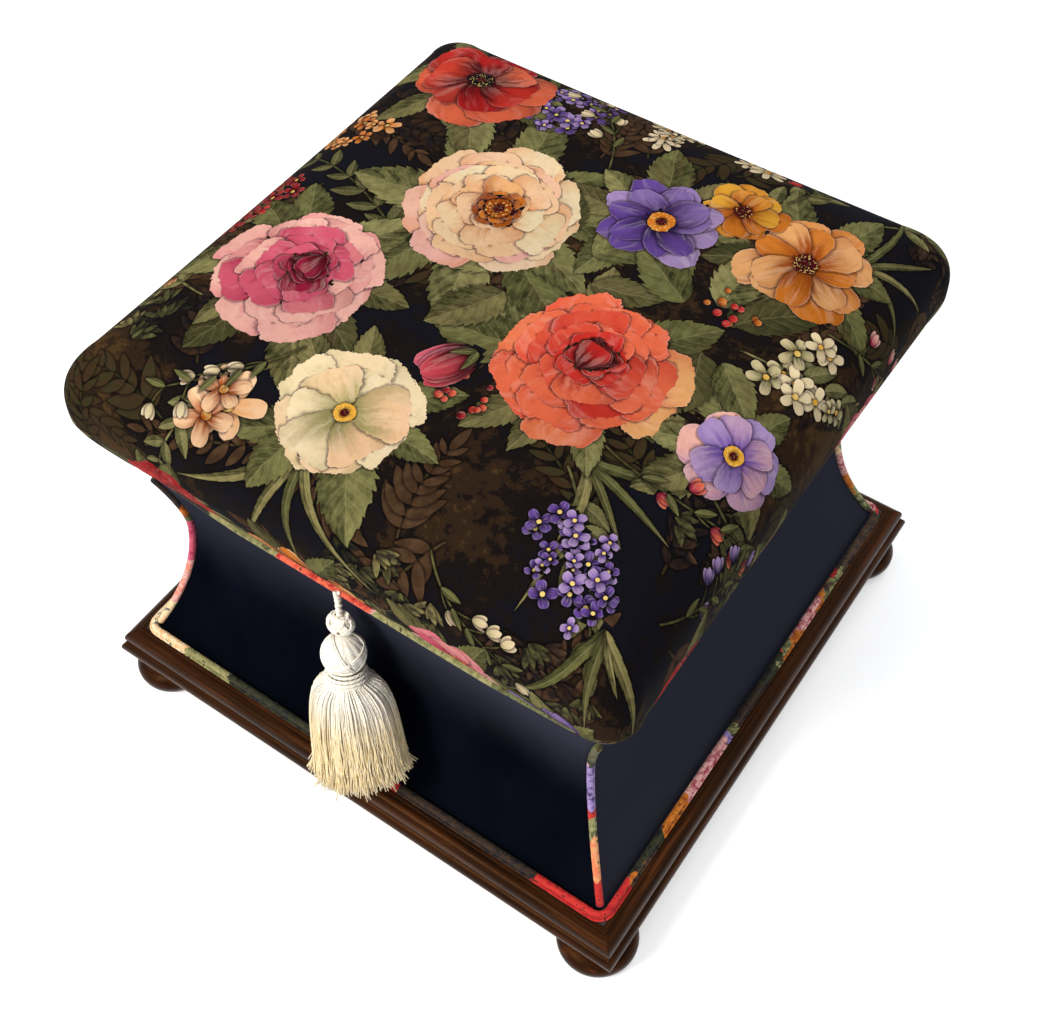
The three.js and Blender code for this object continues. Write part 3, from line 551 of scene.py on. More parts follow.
def spray(x, y, angle, length, bend, pairs, size, deep, light, slim, kind="leaf", start=0.15):
    at = stem(x, y, angle, length, bend, 1.3, light)
    for i in range(pairs):
        share = start + (1 - start) * (i + 0.5) / pairs
        px, py, pa = at(share)
        for hand in (-1, 1):
            reach = size * (1.1 - 0.5 * share) * vary(0.75, 1.2)
            draw(px, py, pa + hand * vary(0.5, 1.05), reach, reach * slim, deep, light, 0.7, 0.9,
                 -hand * 0.14, kind, 0.05)
    px, py, pa = at(1)
    draw(px, py, pa, size * 0.8, size * 0.8 * slim, deep, light, 0.7, 0.9, 0, kind, 0.03)


def bush(x, y, angle, reach, twigs, deep, tones, size=13):
    # Small foliage in the distance, dark behind and light in front
    for i in range(twigs):
        r, a = reach * math.sqrt(vary(0, 1)), round360()
        px, py = x + r * math.cos(a), y + r * math.sin(a) * 0.75
        light = tones[min(len(tones) - 1, int(i / twigs * len(tones)))]
        grow = angle + vary(-0.7, 0.7) + 0.6 * (px - x) / reach * -1
        for turn in (-0.75, 0.7, -0.3, 0.32, 0.0):
            long = size * vary(0.75, 1.2)
            draw(px, py, grow + turn + vary(-0.15, 0.15), long, long * 0.3, deep, light, 0.75, 0.8,
                 turn * 0.2, "plain", 0.04)


def paint(tones, share): # one of several light inks for a petal
    return blend(pick(tones), pick(tones), share)


fullRings = ((1.0, 7), (0.84, 7), (0.68, 6), (0.52, 5), (0.37, 5), (0.24, 4), (0.13, 3))


def roseBloom(x, y, radius, tones, rings=fullRings, lean=0.0):
    # A full bloom: rings of broad petals, each over the last and nearer the heart, which leans to one side
    spin = vary(0, 6)
    for r, (outer, petals) in enumerate(rings):
        deep, lights = tones[min(r, len(tones) - 1)]
        cx = x + radius * 0.22 * (1 - outer) * math.cos(lean)
        cy = y + radius * 0.22 * (1 - outer) * math.sin(lean)
        for i in range(petals):
            angle = spin + (i + 0.5 * (r % 2)) / petals * fullTurn + vary(-0.2, 0.2)
            reach = radius * outer * vary(0.9, 1.07)
            length = radius * (0.3 + 0.52 * outer) * vary(0.9, 1.1)
            start = reach - length
            draw(cx + start * math.cos(angle), cy + start * math.sin(angle), angle, length,
                 length * vary(0.9, 1.2), deep, paint(lights, vary(0, 1)), vary(0.7, 0.95), vary(0.24, 0.34),
                 vary(-0.14, 0.14), "petal", 0.15)


def openBloom(x, y, radius, petals, deep, lights, centre=0.2, width=0.8, root=0.75, tip=0.32, heart="amber",
              ruffle=0.12):
    spin = vary(0, 6)
    for layer in range(2):
        size = radius * (1 - 0.2 * layer)
        for i in range(petals):
            angle = spin + (i + 0.5 * layer) / petals * fullTurn + vary(-0.14, 0.14)
            length = size * vary(0.86, 1.06)
            draw(x, y, angle, length, length * width * vary(0.85, 1.15), deep, paint(lights, vary(0, 1)),
                 root, tip, vary(-0.14, 0.14), "petal", ruffle)
    if centre:
        reach = radius * centre
        disc(x, y, reach * 1.5, deep, deep, "glaze", 0.3)
        disc(x, y, reach, heart, "stamen", "stamens", 0.25)
        disc(x, y, reach * 0.4, "wine", "sage", "stamens", 0.15)


def floret(x, y, radius, petals, deep, light, heart):
    spin = vary(0, 6)
    for i in range(petals):
        draw(x, y, spin + i / petals * fullTurn + vary(-0.15, 0.15), radius * vary(0.85, 1.1),
             radius * 2.3 / petals * 1.25, deep, light, 0.6, 0.35, vary(-0.1, 0.1), "petal", 0.1)
    disc(x, y, radius * 0.17, heart, "stamen", "plain", 0)


def cluster(x, y, reach, count, radius, petals, tones, heart, stretch, angle):
    c, s = math.cos(angle), math.sin(angle)
    for _ in range(count):
        r, a = reach * math.sqrt(vary(0, 1)), round360()
        u, v = r * math.cos(a) * stretch, r * math.sin(a)
        deep, light = pick(tones)
        floret(x + u * c - v * s, y + u * s + v * c, radius * vary(0.7, 1.2), petals, deep, light, heart)


def tulip(x, y, angle, size, deep, lights):
    for turn, wide in ((-0.42, 0.44), (0.42, 0.44), (-0.2, 0.46), (0.22, 0.46), (0.02, 0.5)):
        draw(x, y, angle + turn, size * vary(0.88, 1.06), size * wide, deep, paint(lights, 0.5), 0.55, 0.5,
             -turn * 0.35, "petal", 0.1)
    for turn in (-0.7, 0.7):
        draw(x, y, angle + turn, size * 0.4, size * 0.13, "oliveDeep", "olive", 0.5, 0.9, -turn * 0.3, "leaf",
             0.03)


def budSpray(x, y, angle, length, bend, deep, light, buds=5):
    at = stem(x, y, angle, length, bend, 1.1, "sage")
    for i in range(buds):
        px, py, pa = at(0.3 + 0.7 * i / (buds - 1))
        turn = dice.choice((-1, 1)) * vary(0.4, 0.9)
        bx, by, grow = stem(px, py, pa + turn, 11, 0.2, 0.8, "sage")(1)
        for side in (-0.4, 0.4, 0.0):
            draw(bx, by, grow + side, 8.5, 4.2, deep, light, 0.6, 0.6)
        draw(px, py, pa - turn, 12, 4.2, "oliveDeep", "olive", 0.7, 0.9, 0.1, "leaf", 0.03)


def berries(x, y, reach, count, tones):
    for _ in range(count):
        a, r, size = round360(), reach * math.sqrt(vary(0, 1)), vary(3.2, 5)
        deep, light = pick(tones)
        draw(x + r * math.cos(a) - size / 2, y + r * math.sin(a), 0.5, size, size, deep, light, 0.5, 0.5,
             ruffle=0.02)


def leafRing(x, y, radius, count, length, spin):
    for i in range(count):
        angle = spin + i / count * fullTurn + vary(-0.35, 0.35)
        far = radius * vary(0.45, 0.75)
        leaf(x + far * math.cos(angle), y + far * math.sin(angle), angle, length * vary(0.75, 1.25),
             min(1, 0.5 * vary(0.1, 1.7)))


groundSprays = {"count": 74, "reach": 270,
                "tones": (("umber", "bark"), ("night", "umber"), ("umber", "moss"))}
bushes = ( # x, y, direction of growth, reach and inks, light last
    (-166, -128, 2.2, 34, ("moss", "olive", "khaki")), (38, -196, -1.0, 36, ("moss", "sage", "khaki")),
    (172, -86, 0.3, 32, ("umber", "bark", "sage")), (-176, 96, 2.6, 34, ("umber", "moss", "sage")),
    (176, 156, 0.7, 34, ("umber", "bark", "bark")), (72, 184, 1.4, 30, ("moss", "olive", "khaki")),
    (-40, 176, 1.8, 28, ("umber", "moss", "sage")), (128, -190, -0.8, 30, ("umber", "bark", "sage")),
    (-246, 20, 3.1, 28, ("moss", "olive", "khaki")), (246, 30, 0.1, 28, ("moss", "olive", "khaki")))
sprays = ( # x, y, direction, length and bend of the sprays that reach out of the bunches
    (-60, -20, 2.5, 110, 0.25), (-90, 60, 2.0, 90, -0.2), (60, 90, 0.9, 110, 0.22), (120, 20, 0.1, 95, 0.3),
    (90, -90, -0.7, 95, -0.2), (-60, -110, -2.2, 100, 0.2), (-130, -100, 3.0, 90, -0.25),
    (150, -60, -0.4, 85, 0.2), (20, 150, 1.5, 95, 0.25), (-120, 140, 2.4, 95, 0.2),
    (130, 140, 0.8, 100, -0.2), (215, -120, 1.2, 90, 0.2), (230, 90, 1.9, 95, -0.25),
    (-225, 60, 1.4, 100, 0.2), (-215, -140, -1.2, 90, 0.2), (-110, -215, -0.2, 95, -0.2),
    (90, -225, -0.1, 90, 0.25), (-60, 225, 0.1, 95, 0.2), (110, 230, 0.4, 85, -0.2))
grasses = ((96, -82, -0.5), (-20, -150, -1.8), (-140, -30, 2.9), (140, 110, 0.5), (-70, 130, 2.1),
           (150, -150, -1.2))
leafRings = ( # x, y, radius, count and length of the leaves behind the blooms
    (66, -34, 46, 9, 50), (-40, 34, 50, 9, 52), (40, 76, 34, 7, 44), (-100, -62, 44, 9, 46),
    (118, 92, 34, 7, 40), (-112, 124, 38, 7, 40), (-18, -122, 34, 7, 44), (150, -36, 22, 6, 36),
    (12, 10, 40, 6, 46), (100, 20, 30, 6, 42))
clusters = ( # x, y, reach, count, radius, petals, inks, heart, stretch and its direction
    (-58, 134, 24, 30, 6.5, 4, (("plum", "violet"), ("violet", "lilac")), "stamen", 1.4, 0.8),
    (158, 30, 22, 12, 9, 5, (("ivory", "cream"), ("sage", "ivory")), "gold", 1.3, 1.0),
    (30, 158, 24, 9, 11, 8, (("ivory", "cream"),), "amber", 1.5, 0.2),
    (122, -134, 21, 34, 6, 4, (("violet", "lilac"), ("plum", "violet"), ("plum", "violet")), "stamen", 1.7,
     -0.9),
    (-164, -20, 20, 16, 8.5, 5, (("red", "scarlet"), ("wine", "red")), "gold", 1.4, 1.2),
    (-154, 58, 18, 14, 7, 5, (("amberDeep", "amber"), ("amber", "apricot")), "wine", 1.4, 0.4),
    (-84, -150, 10, 3, 19, 5, (("amberDeep", "peach"), ("apricot", "peach")), "amberDeep", 1.6, 0.2))
pinkRose = (("rose", ("blush",)), ("roseDeep", ("blush", "blush", "rose")), ("roseDeep", ("rose", "blush")),
            ("roseDeep", ("rose",)), ("wine", ("rose", "roseDeep")), ("wine", ("roseDeep",)))
peachRose = (("apricot", ("cream", "peach", "peach")), ("amber", ("peach", "cream")),
             ("amberDeep", ("apricot", "peach")))
coralRose = (("scarlet", ("coral", "apricot", "coral")), ("scarlet", ("coral",)),
             ("red", ("coral", "scarlet", "coral")), ("red", ("coral", "scarlet")), ("red", ("scarlet",)),
             ("wine", ("scarlet", "red")))
budSprays = ( # x, y, direction, length, bend and inks of what crosses in front
    (98, -70, -0.3, 80, 0.35, "roseDeep", "coral"), (-60, -100, -2.0, 70, -0.3, "ivory", "cream"),
    (150, 60, 0.2, 70, 0.3, "roseDeep", "blush"), (-6, 96, 1.9, 70, 0.3, "ivory", "cream"),
    (-150, -60, -2.4, 62, 0.3, "amberDeep", "apricot"), (88, 130, 1.2, 60, 0.35, "red", "scarlet"),
    (60, -160, -0.9, 60, 0.3, "ivory", "cream"), (170, -130, 0.9, 60, 0.3, "plum", "lilac"))
sideBlooms = ( # place along a side, distance from the middle and inks
    (-120, 232, "wine", ("scarlet", "red")), (-30, 240, "amberDeep", ("amber", "apricot")),
    (64, 230, "roseDeep", ("blush", "rose")), (132, 242, "plum", ("lilac", "violet")))


def drawTop():
    for _ in range(groundSprays["count"]): # foliage in the ground's own shade comes first
        far = groundSprays["reach"]
        x, y, angle = vary(-far, far), vary(-far, far), round360()
        tone = pick(groundSprays["tones"])
        spray(x, y, angle, vary(45, 80), vary(-0.3, 0.3), 8, vary(15, 22), *tone, 0.34, "plain", 0.05)
    for x, y, angle, reach, tones in bushes:
        bush(x, y, angle, reach, 24, "night", tones)
    for x, y, angle, length, bend in sprays:
        light = blend("moss", "oliveLight", vary(0.2, 0.9))
        spray(x, y, angle, length, bend, 6, 21, "oliveDeep", light, 0.42)
    for x, y, angle in grasses:
        for turn in (-0.5, -0.15, 0.2, 0.6):
            length = vary(48, 84)
            bend = turn * 0.6 + vary(-0.15, 0.15)
            draw(x, y, angle + turn, length, length * 0.085, "oliveDeep", pick(("olive", "sage", "khaki")),
                 0.35, 0.9, bend, "leaf", 0.02)
    for ring in leafRings:
        leafRing(*ring, vary(0, 6))
    for each in clusters:
        cluster(*each)
    berries(22, -84, 16, 12, (("wine", "red"), ("red", "coral")))
    berries(104, 38, 15, 12, (("amberDeep", "amber"), ("red", "scarlet")))
    openBloom(-112, 124, 42, 6, "wine", ("scarlet", "red", "coral"), 0.17, 0.98, heart="night")
    openBloom(118, 92, 38, 8, "amberDeep", ("amber", "apricot"), 0.17, 0.66, heart="wine")
    openBloom(72, 108, 25, 7, "amberDeep", ("amber", "gold"), 0.2, 0.7, heart="wine")
    openBloom(-18, -122, 38, 6, "khaki", ("cream", "cream", "peach"), 0.15, 1.05, 0.8, 0.26, "gold", 0.18)
    openBloom(150, -36, 27, 6, "violet", ("lilac", "blush"), heart="gold")
    tulip(14, -56, -2.1, 34, "wine", ("scarlet", "rose"))
    roseBloom(-100, -62, 47, pinkRose, lean=1.0)
    openBloom(40, 76, 37, 8, "plum", ("violet", "lilac", "violet"), 0.2, 0.62, 0.6, 0.52)
    openBloom(-40, 34, 53, 8, "amber", ("peach", "cream", "blush"), 0, 0.86, 0.8, 0.26)
    roseBloom(-40, 34, 38, peachRose, ((1.0, 7), (0.76, 6), (0.52, 5)), 2.5)
    openBloom(-38, 36, 15, 7, "wine", ("amber", "amberDeep"), 0.5, 0.7, heart="amberDeep")
    roseBloom(66, -34, 49, coralRose, lean=2.0)
    for each in budSprays:
        budSpray(*each)


def drawSide(quarter): # flowers on a side of the cushion, upright to someone in front of it
    start = len(motifs)
    shift = vary(-20, 20)
    for along, out, deep, lights in sideBlooms:
        x, y = along + shift, -out
        leafRing(x, y, 20, 6, 32, vary(0, 6))
        flower = dice.integers(3)
        if flower == 0:
            openBloom(x, y, 28, 6, deep, lights, 0.18, 0.85)
        elif flower == 1:
            roseBloom(x, y, 30, [(deep, lights)], ((1, 7), (0.78, 6), (0.55, 5), (0.34, 4), (0.18, 3)), 1.5)
        else:
            for turn in (-0.5, 0.1, 0.6):
                at = stem(x, y - 22, 1.57 + turn, 30, turn * 0.2)
                tulip(*at(0.9)[:2], 1.57 + turn * 1.4, 26, deep, lights)
    angle = quarter * math.pi / 2
    c, s = math.cos(angle), math.sin(angle)
    for row in motifs[start:]:
        row[:3] = row[0] * c - row[1] * s, row[0] * s + row[1] * c, row[2] + angle


layerCount = 4 # motifs that can lie over each other at one place
shadowReach = 2.6
laying = {"plainShadow": 1.0, "smallLength": 24, "looseShare": 0.28, "hidingDepth": 0.6, "margin": 5}


def motifPlace(rows, points): # where points lie within their motifs: share along, share across
    x, y, angle, length, half, bend = (rows[..., i, None] for i in range(6))
    dx, dy = points[..., 0] - x, points[..., 1] - y
    along = (dx * np.cos(angle) + dy * np.sin(angle)) / length
    across = (dy * np.cos(angle) - dx * np.sin(angle) - bend * length * along ** 2) / half
    return along, across


def motifDepth(rows, along, across): # millimetres inside the outline
    length, half, root, tip = (rows[..., i, None] for i in (3, 4, 6, 7))
    held = np.clip(along, 1e-6, 1 - 1e-6)
    width = held ** root * (1 - held) ** tip
    beyond = np.maximum(along - 1, 0) + np.maximum(-along, 0)
    return (width - np.abs(across)) * half - beyond * length


def chooseMotifs(rows, corners): # the motifs that cross each face of the cloth, topmost first, or -1
    held = np.full((len(corners), layerCount), -1)
    filled = np.zeros(len(corners), int)
    middle = corners.mean(1)
    reachOf = np.hypot(rows[:, 3] * (0.5 + abs(rows[:, 5])), rows[:, 4] * 0.5) + laying["margin"]
    midX = rows[:, 0] + np.cos(rows[:, 2]) * rows[:, 3] / 2
    midY = rows[:, 1] + np.sin(rows[:, 2]) * rows[:, 3] / 2
    for m in range(len(rows) - 1, -1, -1):
        close = (abs(middle[:, 0] - midX[m]) < reachOf[m]) & (abs(middle[:, 1] - midY[m]) < reachOf[m])
        near = np.flatnonzero(close & (filled < layerCount))
        depth = motifDepth(rows[m], *motifPlace(rows[m], corners[near]))
        loose = rows[m, 9] * rows[m, 3] * laying["looseShare"]
        slight = rows[m, 8] == kinds["plain"] or rows[m, 3] < laying["smallLength"]
        shadow = laying["plainShadow"] if slight else shadowReach
        touched = near[depth.max(1) > -shadow - loose]
        held[touched, filled[touched]] = m
        filled[touched] += 1
        filled[near[depth.min(1) > laying["hidingDepth"] + loose]] = layerCount
    return held


def layMotifs(mesh, corners): # gives each face of the cloth its motifs, with their own coordinates
    rows = np.array(motifs)
    held = chooseMotifs(rows, corners)
    loops = np.zeros(len(corners), int)
    mesh.polygons.foreach_get("loop_total", loops)
    real = (np.arange(4)[None] < loops[:, None]).ravel()
    for k in range(layerCount):
        there = held[:, k, None] >= 0
        mine = rows[held[:, k]]
        along, across = motifPlace(mine, corners)
        seed = np.broadcast_to(mine[:, 10, None], along.shape)
        place = np.where(there[..., None], np.stack([along, across, seed], -1), (-50, 0, 0)).reshape(-1, 3)
        form = np.where(there, mine[:, [6, 7, 8]], (1, 1, 0))
        size = np.where(there, mine[:, [3, 4, 9]], (1, 1, 0))
        layers = (("place", "CORNER", place[real]), ("form", "FACE", form), ("size", "FACE", size),
                  ("deep", "FACE", mine[:, 11:14]), ("light", "FACE", mine[:, 14:17]))
        for name, domain, values in layers:
            layer = mesh.attributes.new(name + str(k), "FLOAT_VECTOR", domain)
            layer.data.foreach_set("vector", np.asarray(values, np.float32).ravel())


def paintPetal(s, along, across, width, share, depth, seed, deep, light):
    # Streaks and folds fan out from the root
    fan = across / (width + 0.12)
    streak = s.noise(s.vector(fan * 4.5, along * 1.3, seed), 1, 4, 0.66)
    fold = s.noise(s.vector(fan * 2.0, along * 1.1, seed + 7), 1, 2)
    rise = along * 1.1 - 0.06 + (streak - 0.5) * 0.95 + (fold - 0.5) * 0.8 - share * 0.08
    petal = s.mix(rise.smooth(0.0, 0.9), deep, light)
    petal = s.mix((fan + (streak - 0.5) * 0.5).smooth(0.05, 1.05) * 0.5, petal, deep)
    lit = (0.55 - fold).smooth(0.0, 0.18) * streak.smooth(0.4, 0.6) * 0.3
    petal = s.mix(lit, petal, s.mix(0.35, light, (1, 0.95, 0.88)))
    petal = s.mix(along.smooth(0.35, 0.0) * 0.55, petal, s.dimmed(deep, (0.45, 0.4, 0.5)))
    rim = depth.smooth(0.9, 0.1) * along.smooth(0.35, 0.8) * 0.3
    return s.mix(rim, petal, s.mix(0.4, light, (1, 0.96, 0.9))), streak, fold


def paintLeaf(s, along, across, wide, half, share, mottle, streak, fold, deep, light):
    # Midrib and side veins, with one half in shade, blotched
    vein = (along * 6.5 - share * 1.8).fraction()
    ribs = abs(vein - 0.5).smooth(0.1, 0.02) * 0.5 * share.smooth(1, 0.5)
    lines = ribs.atLeast((wide * half).smooth(0.5, 0.12) * 0.8)
    tone = across.smooth(-0.05, 0.05) * 0.4 + 0.06 + (mottle - 0.42) * 1.5
    tone = tone + vein * 0.22 + (streak - 0.5) * 0.5
    green = s.mix(tone.atLeast(0).atMost(1), deep, light)
    green = s.mix((fold - 0.55).smooth(0, 0.15) * 0.3, green, inks["bark"])
    return s.mix(lines * 0.45, green, s.mix(0.35, light, inks["ivory"]))


def paintLayer(s, k, under):
    def read(name):
        return s.node("ShaderNodeAttribute", {"attribute_name": name + str(k)}, output="Vector")
    along, across, seed = read("place").parts()
    root, tip, kind = read("form").parts()
    length, half, ruffle = read("size").parts()
    deep, light = read("deep"), read("light")
    wobble = s.vector(along * length * 0.14 + seed, across * half * 0.14, seed)
    wx, wy, wz = s.noise(wobble, 1, 4, 0.62, "Color").parts()
    along = along + ruffle * (wx - 0.5) * 1.25
    across = across + ruffle * (wy - 0.5) * 1.4
    wide = abs(across)
    saw = (along * 8.5 - wide * 2).fraction() # a leaf's toothed edge
    leafLike = kind.smooth(0.4, 0.6) * kind.smooth(1.6, 1.4)
    width = along.atLeast(0) ** root * (1 - along).atLeast(0) ** tip * (1 + leafLike * (saw - 0.6) * 0.16)
    depth = (width - wide) * half - ((along - 1).atLeast(0) + (0 - along).atLeast(0)) * length
    share = wide / width.atLeast(0.02)
    petal, streak, fold = paintPetal(s, along, across, width, share, depth, seed, deep, light)
    green = paintLeaf(s, along, across, wide, half, share, wz, streak, fold, deep, light)
    grid = s.vector(along * length, across * half, seed)
    dots = s.node("ShaderNodeTexVoronoi", {}, {"Vector": grid, "Scale": 0.75})
    heart = s.mix(dots.smooth(0.42, 0.18), deep, light)
    plain = s.mix((wz - 0.3).smooth(0, 0.45), deep, light)
    colour = s.mix(kind.smooth(0.4, 0.6), petal, green)
    colour = s.mix(kind.smooth(1.4, 1.6), colour, heart)
    colour = s.mix(kind.smooth(2.4, 2.6), colour, plain)
    glaze = kind.smooth(3.4, 3.6) # a soft dark glaze round a flower's heart
    mask = depth.smooth(-0.16, 0.16) * (1 - glaze) + (depth / half).smooth(0, 0.5) * 0.75 * glaze
    shadow = depth.smooth(-shadowReach, 0.3) * 0.85 * (1 - glaze)
    return s.mix(mask, s.mix(shadow, under, s.dimmed(under, (0.16, 0.13, 0.2))), colour)


cloth = {"dark": "120d0e", "brown": "2d2015", "tan": "46341f", "navy": "0b0e1a", "fibre": "6f5f4c",
         "yellowed": (0.72, 0.67, 0.61)}


def makePrint():
    s = newShader("floral_print")
    at = s.place()
    cloud = s.noise(at, 0.009, 4, 0.62)
    edge = s.noise(at, 0.13, 3, 0.75) - 0.5 # serrates the ground's patches
    ground = s.mix((cloud + edge * 0.3).smooth(0.5, 0.535), ink(cloth["dark"]), ink(cloth["brown"]))
    ground = s.mix((cloud + edge * 0.35).smooth(0.57, 0.61), ground, ink(cloth["tan"]))
    colour = s.mix((cloud + edge * 0.3).smooth(0.47, 0.41) * 0.9, ground, ink(cloth["navy"]))
    for k in range(layerCount - 1, -1, -1):
        colour = paintLayer(s, k, colour)
    weave = s.noise(s.scaled(at, (2.4, 2.4, 2.4)), 1, 2)
    mottle = s.noise(at, 0.2, 4, 0.65)
    broad = s.noise(at, 0.02, 2)
    colour = s.mix((mottle - 0.45).smooth(0.0, 0.3) * 0.3, colour, s.dimmed(colour, (0.55, 0.5, 0.48)))
    colour = s.mix(broad.smooth(0.4, 0.65) * 0.22, colour, s.dimmed(colour, (0.6, 0.56, 0.55)))
    colour = s.mix(weave.smooth(0.45, 0.75) * 0.05, colour, ink(cloth["fibre"]))
    return s.coat(Base_Color=s.dimmed(colour, cloth["yellowed"]), Roughness=0.74 + 0.14 * weave,
                  Normal=s.bump(weave, 0.3, 0.12), Specular_IOR_Level=0.03)


cushion = {"pipingHalf": 150, "half": 176, "underZ": 206.7, "bulge": 59, "crown": 55, "flarePower": 1.4,
           "crownPower": 5.4, "heightPower": 3, "corner": 21.5, "edgeCorner": 18, "ear": 3.3, "drawIn": 1.2,
           "hem": 9, "rings": 146, "gather": 0.55, "tug": 0.45, "tugWaves": (0.11, 0.07, 0.13, 0.05),
           "tugBelow": 0.55, "tugReach": 170, "tugGrowth": 150, "pucker": 0.35, "puckerWave": 0.42,
           "profileSteps": 1600, "crowding": 2.2}


def cushionProfile(): # half width, corner, fullness and height from the middle to the hem, and the run
    c = cushion
    bulgeZ = c["underZ"] + c["bulge"]
    s = 1 - (1 - np.linspace(0, 1, c["profileSteps"])) ** c["crowding"]
    full = s ** c["crownPower"]
    crown = (c["half"] * s, c["corner"] * s, full, bulgeZ + c["crown"] * (1 - full) ** (1 / c["heightPower"]))
    u = np.linspace(1, 0, c["profileSteps"])
    share = 1 - (1 - u) ** c["flarePower"]
    side = (c["pipingHalf"] + (c["half"] - c["pipingHalf"]) * share,
            c["edgeCorner"] + (c["corner"] - c["edgeCorner"]) * share, u, c["underZ"] + c["bulge"] * u)
    t = np.linspace(0, 1, 60)
    hem = (c["pipingHalf"] - c["hem"] * t, c["edgeCorner"] - c["hem"] * t, 0 * t, c["underZ"] + 0 * t)
    whole = np.concatenate([np.stack(crown, -1), np.stack(side, -1)[1:], np.stack(hem, -1)[1:]])
    run = np.cumsum(np.hypot(np.diff(whole[:, 0]), np.diff(whole[:, 3])))
    return whole, np.concatenate([[0], run])


def sideSteps(i, j, quarter): # a grid place as rings out and steps along, seen from a side
    return ((-j, i), (i, j), (j, -i), (-i, -j))[quarter]


def sideOf(places):
    x, y = places[..., 0], places[..., 1]
    return np.where(abs(y) > abs(x), np.where(y < 0, 0, 2), np.where(x > 0, 1, 3))


def coverCells(n): # squares of the grid, then the two halves of those on its diagonals, as corner places
    i, j = (each.ravel() for each in np.meshgrid(np.arange(-n, n), np.arange(-n, n), indexing="ij"))
    square = np.stack([np.stack([i + di, j + dj], -1) for di, dj in ((0, 0), (1, 0), (1, 1), (0, 1))], 1)
    middle = square.mean(1)
    diagonal = np.isclose(abs(middle[:, 0]), abs(middle[:, 1]))
    cut, rising = square[diagonal], middle[diagonal].prod(1)[:, None] > 0
    halves = [np.where(rising, (0, 1, 2), (0, 1, 3)), np.where(rising, (0, 2, 3), (1, 2, 3))]
    tris = np.concatenate([np.take_along_axis(cut, half[..., None], 1) for half in halves])
    cells = np.concatenate([square[~diagonal], np.concatenate([tris, tris[:, 2:]], 1)])
    owner = sideOf(np.concatenate([middle[~diagonal], tris.mean(1)]))
    return cells, owner, len(square) - len(cut)


def makeCover():
    c = cushion
    n = c["rings"]
    whole, run = cushionProfile()
    levels = np.linspace(0, run[-1], n + 1)
    half, corner, full, z = (np.interp(levels, run, whole[:, i]) for i in range(4))
    corner = np.maximum(corner, 1e-4)
    half = np.maximum(half, 2e-4)

    def place(ring, step, quarter): # points of a side, and where they lie on the flat cloth
        share = step / np.maximum(ring, 1)
        r, f, level = corner[ring], full[ring], levels[ring]
        along, outward, over = ringPoints(half[ring], r, share, c["ear"] * f, c["drawIn"] * f)
        flat = half[ring] - r
        wide = r + level - half[ring]
        bent = over * (r / np.maximum(wide, 1e-4)) ** c["gather"]
        onFlat = share * (flat + r * math.pi / 4)
        clothAlong = np.where(over > 0, np.sign(share) * (flat + wide * np.sin(bent)), onFlat)
        clothOut = np.where(over > 0, flat + wide * np.cos(bent), level)
        x, y = turned(along, outward, quarter)
        w = c["tugWaves"] # small pulls of the top
        tug = c["tug"] * np.sin(x * w[0] + y * w[1]) * np.sin(y * w[2] - x * w[3])
        tug = tug * (f < c["tugBelow"]) * (level < c["tugReach"]) * np.minimum(1, level / c["tugGrowth"])
        pucker = c["pucker"] * np.sin(along * c["puckerWave"] + 1.3 * quarter) * np.sin(math.pi * f)
        pucker = pucker * (1 - f) * (z[ring] < c["underZ"] + c["bulge"]) # only at the seam
        x, y = turned(along, outward + pucker, quarter)
        return np.stack([x, y, z[ring] + tug], -1), np.stack(turned(clothAlong, clothOut, quarter), -1)

    i, j = np.meshgrid(np.arange(-n, n + 1), np.arange(-n, n + 1), indexing="ij")
    points = np.zeros((2 * n + 1, 2 * n + 1, 3))
    for quarter in range(4):
        ring, step = sideSteps(i, j, quarter)
        mine = ring >= np.abs(step)
        points[mine] = place(ring[mine], step[mine], quarter)[0]
    cells, owner, quads = coverCells(n)
    corners = np.zeros((len(cells), 4, 2))
    for quarter in range(4):
        mine = owner == quarter
        corners[mine] = place(*sideSteps(cells[mine, :, 0], cells[mine, :, 1], quarter), quarter)[1]
    index = (cells[..., 0] + n) * (2 * n + 1) + cells[..., 1] + n
    faces = [*index[:quads].tolist(), *index[quads:, :3].tolist()]
    uv = np.concatenate([corners[:quads].reshape(-1, 2), corners[quads:, :3].reshape(-1, 2)])
    piece = addPiece("cushion_cover", points, faces, "floral_print", "lid", ["lid_cover"], (uv + 300) / 600,
                     turnOut=False)
    drawTop()
    for quarter in range(4):
        drawSide(quarter)
    layMotifs(piece.data, corners)


print("cushion cover")
finishes["floral_print"] = makePrint()
makeCover()


print("foam")
pad = {"inset": 2.4, "ear": 3, "drawIn": 1.2, "rings": 34, "pocketHalf": 148.5, "pocketCorner": 15.3,
       "pocketZ": 221.4}


def makeFoamPad(): # inside the cover, with a pocket for the lid board
    inset = pad["inset"]
    whole, run = cushionProfile()
    rows = []
    for level in np.linspace(0, run[-1] - cushion["hem"] - 3, pad["rings"]):
        half, corner, full, z = (np.interp(level, run, whole[:, i]) for i in range(4))
        dh, dz = (np.diff(np.interp((level - 0.5, level + 0.5), run, whole[:, i]))[0] for i in (0, 3))
        size = math.hypot(dh, dz)
        rows.append((max(half + inset * dz / size, 0.5), max(corner - inset, 0.3), z - inset * dh / size,
                     pad["ear"] * full, pad["drawIn"] * full))
    pocket = (pad["pocketHalf"], pad["pocketCorner"])
    rows += [(*pocket, rows[-1][2]), (*pocket, pad["pocketZ"]), (0.5, 0.3, pad["pocketZ"])]
    piece = addPiece("cushion_foam", *squareShell(rows, 24), "foam", "lid", ["lid_foam"])


makeFoamPad()


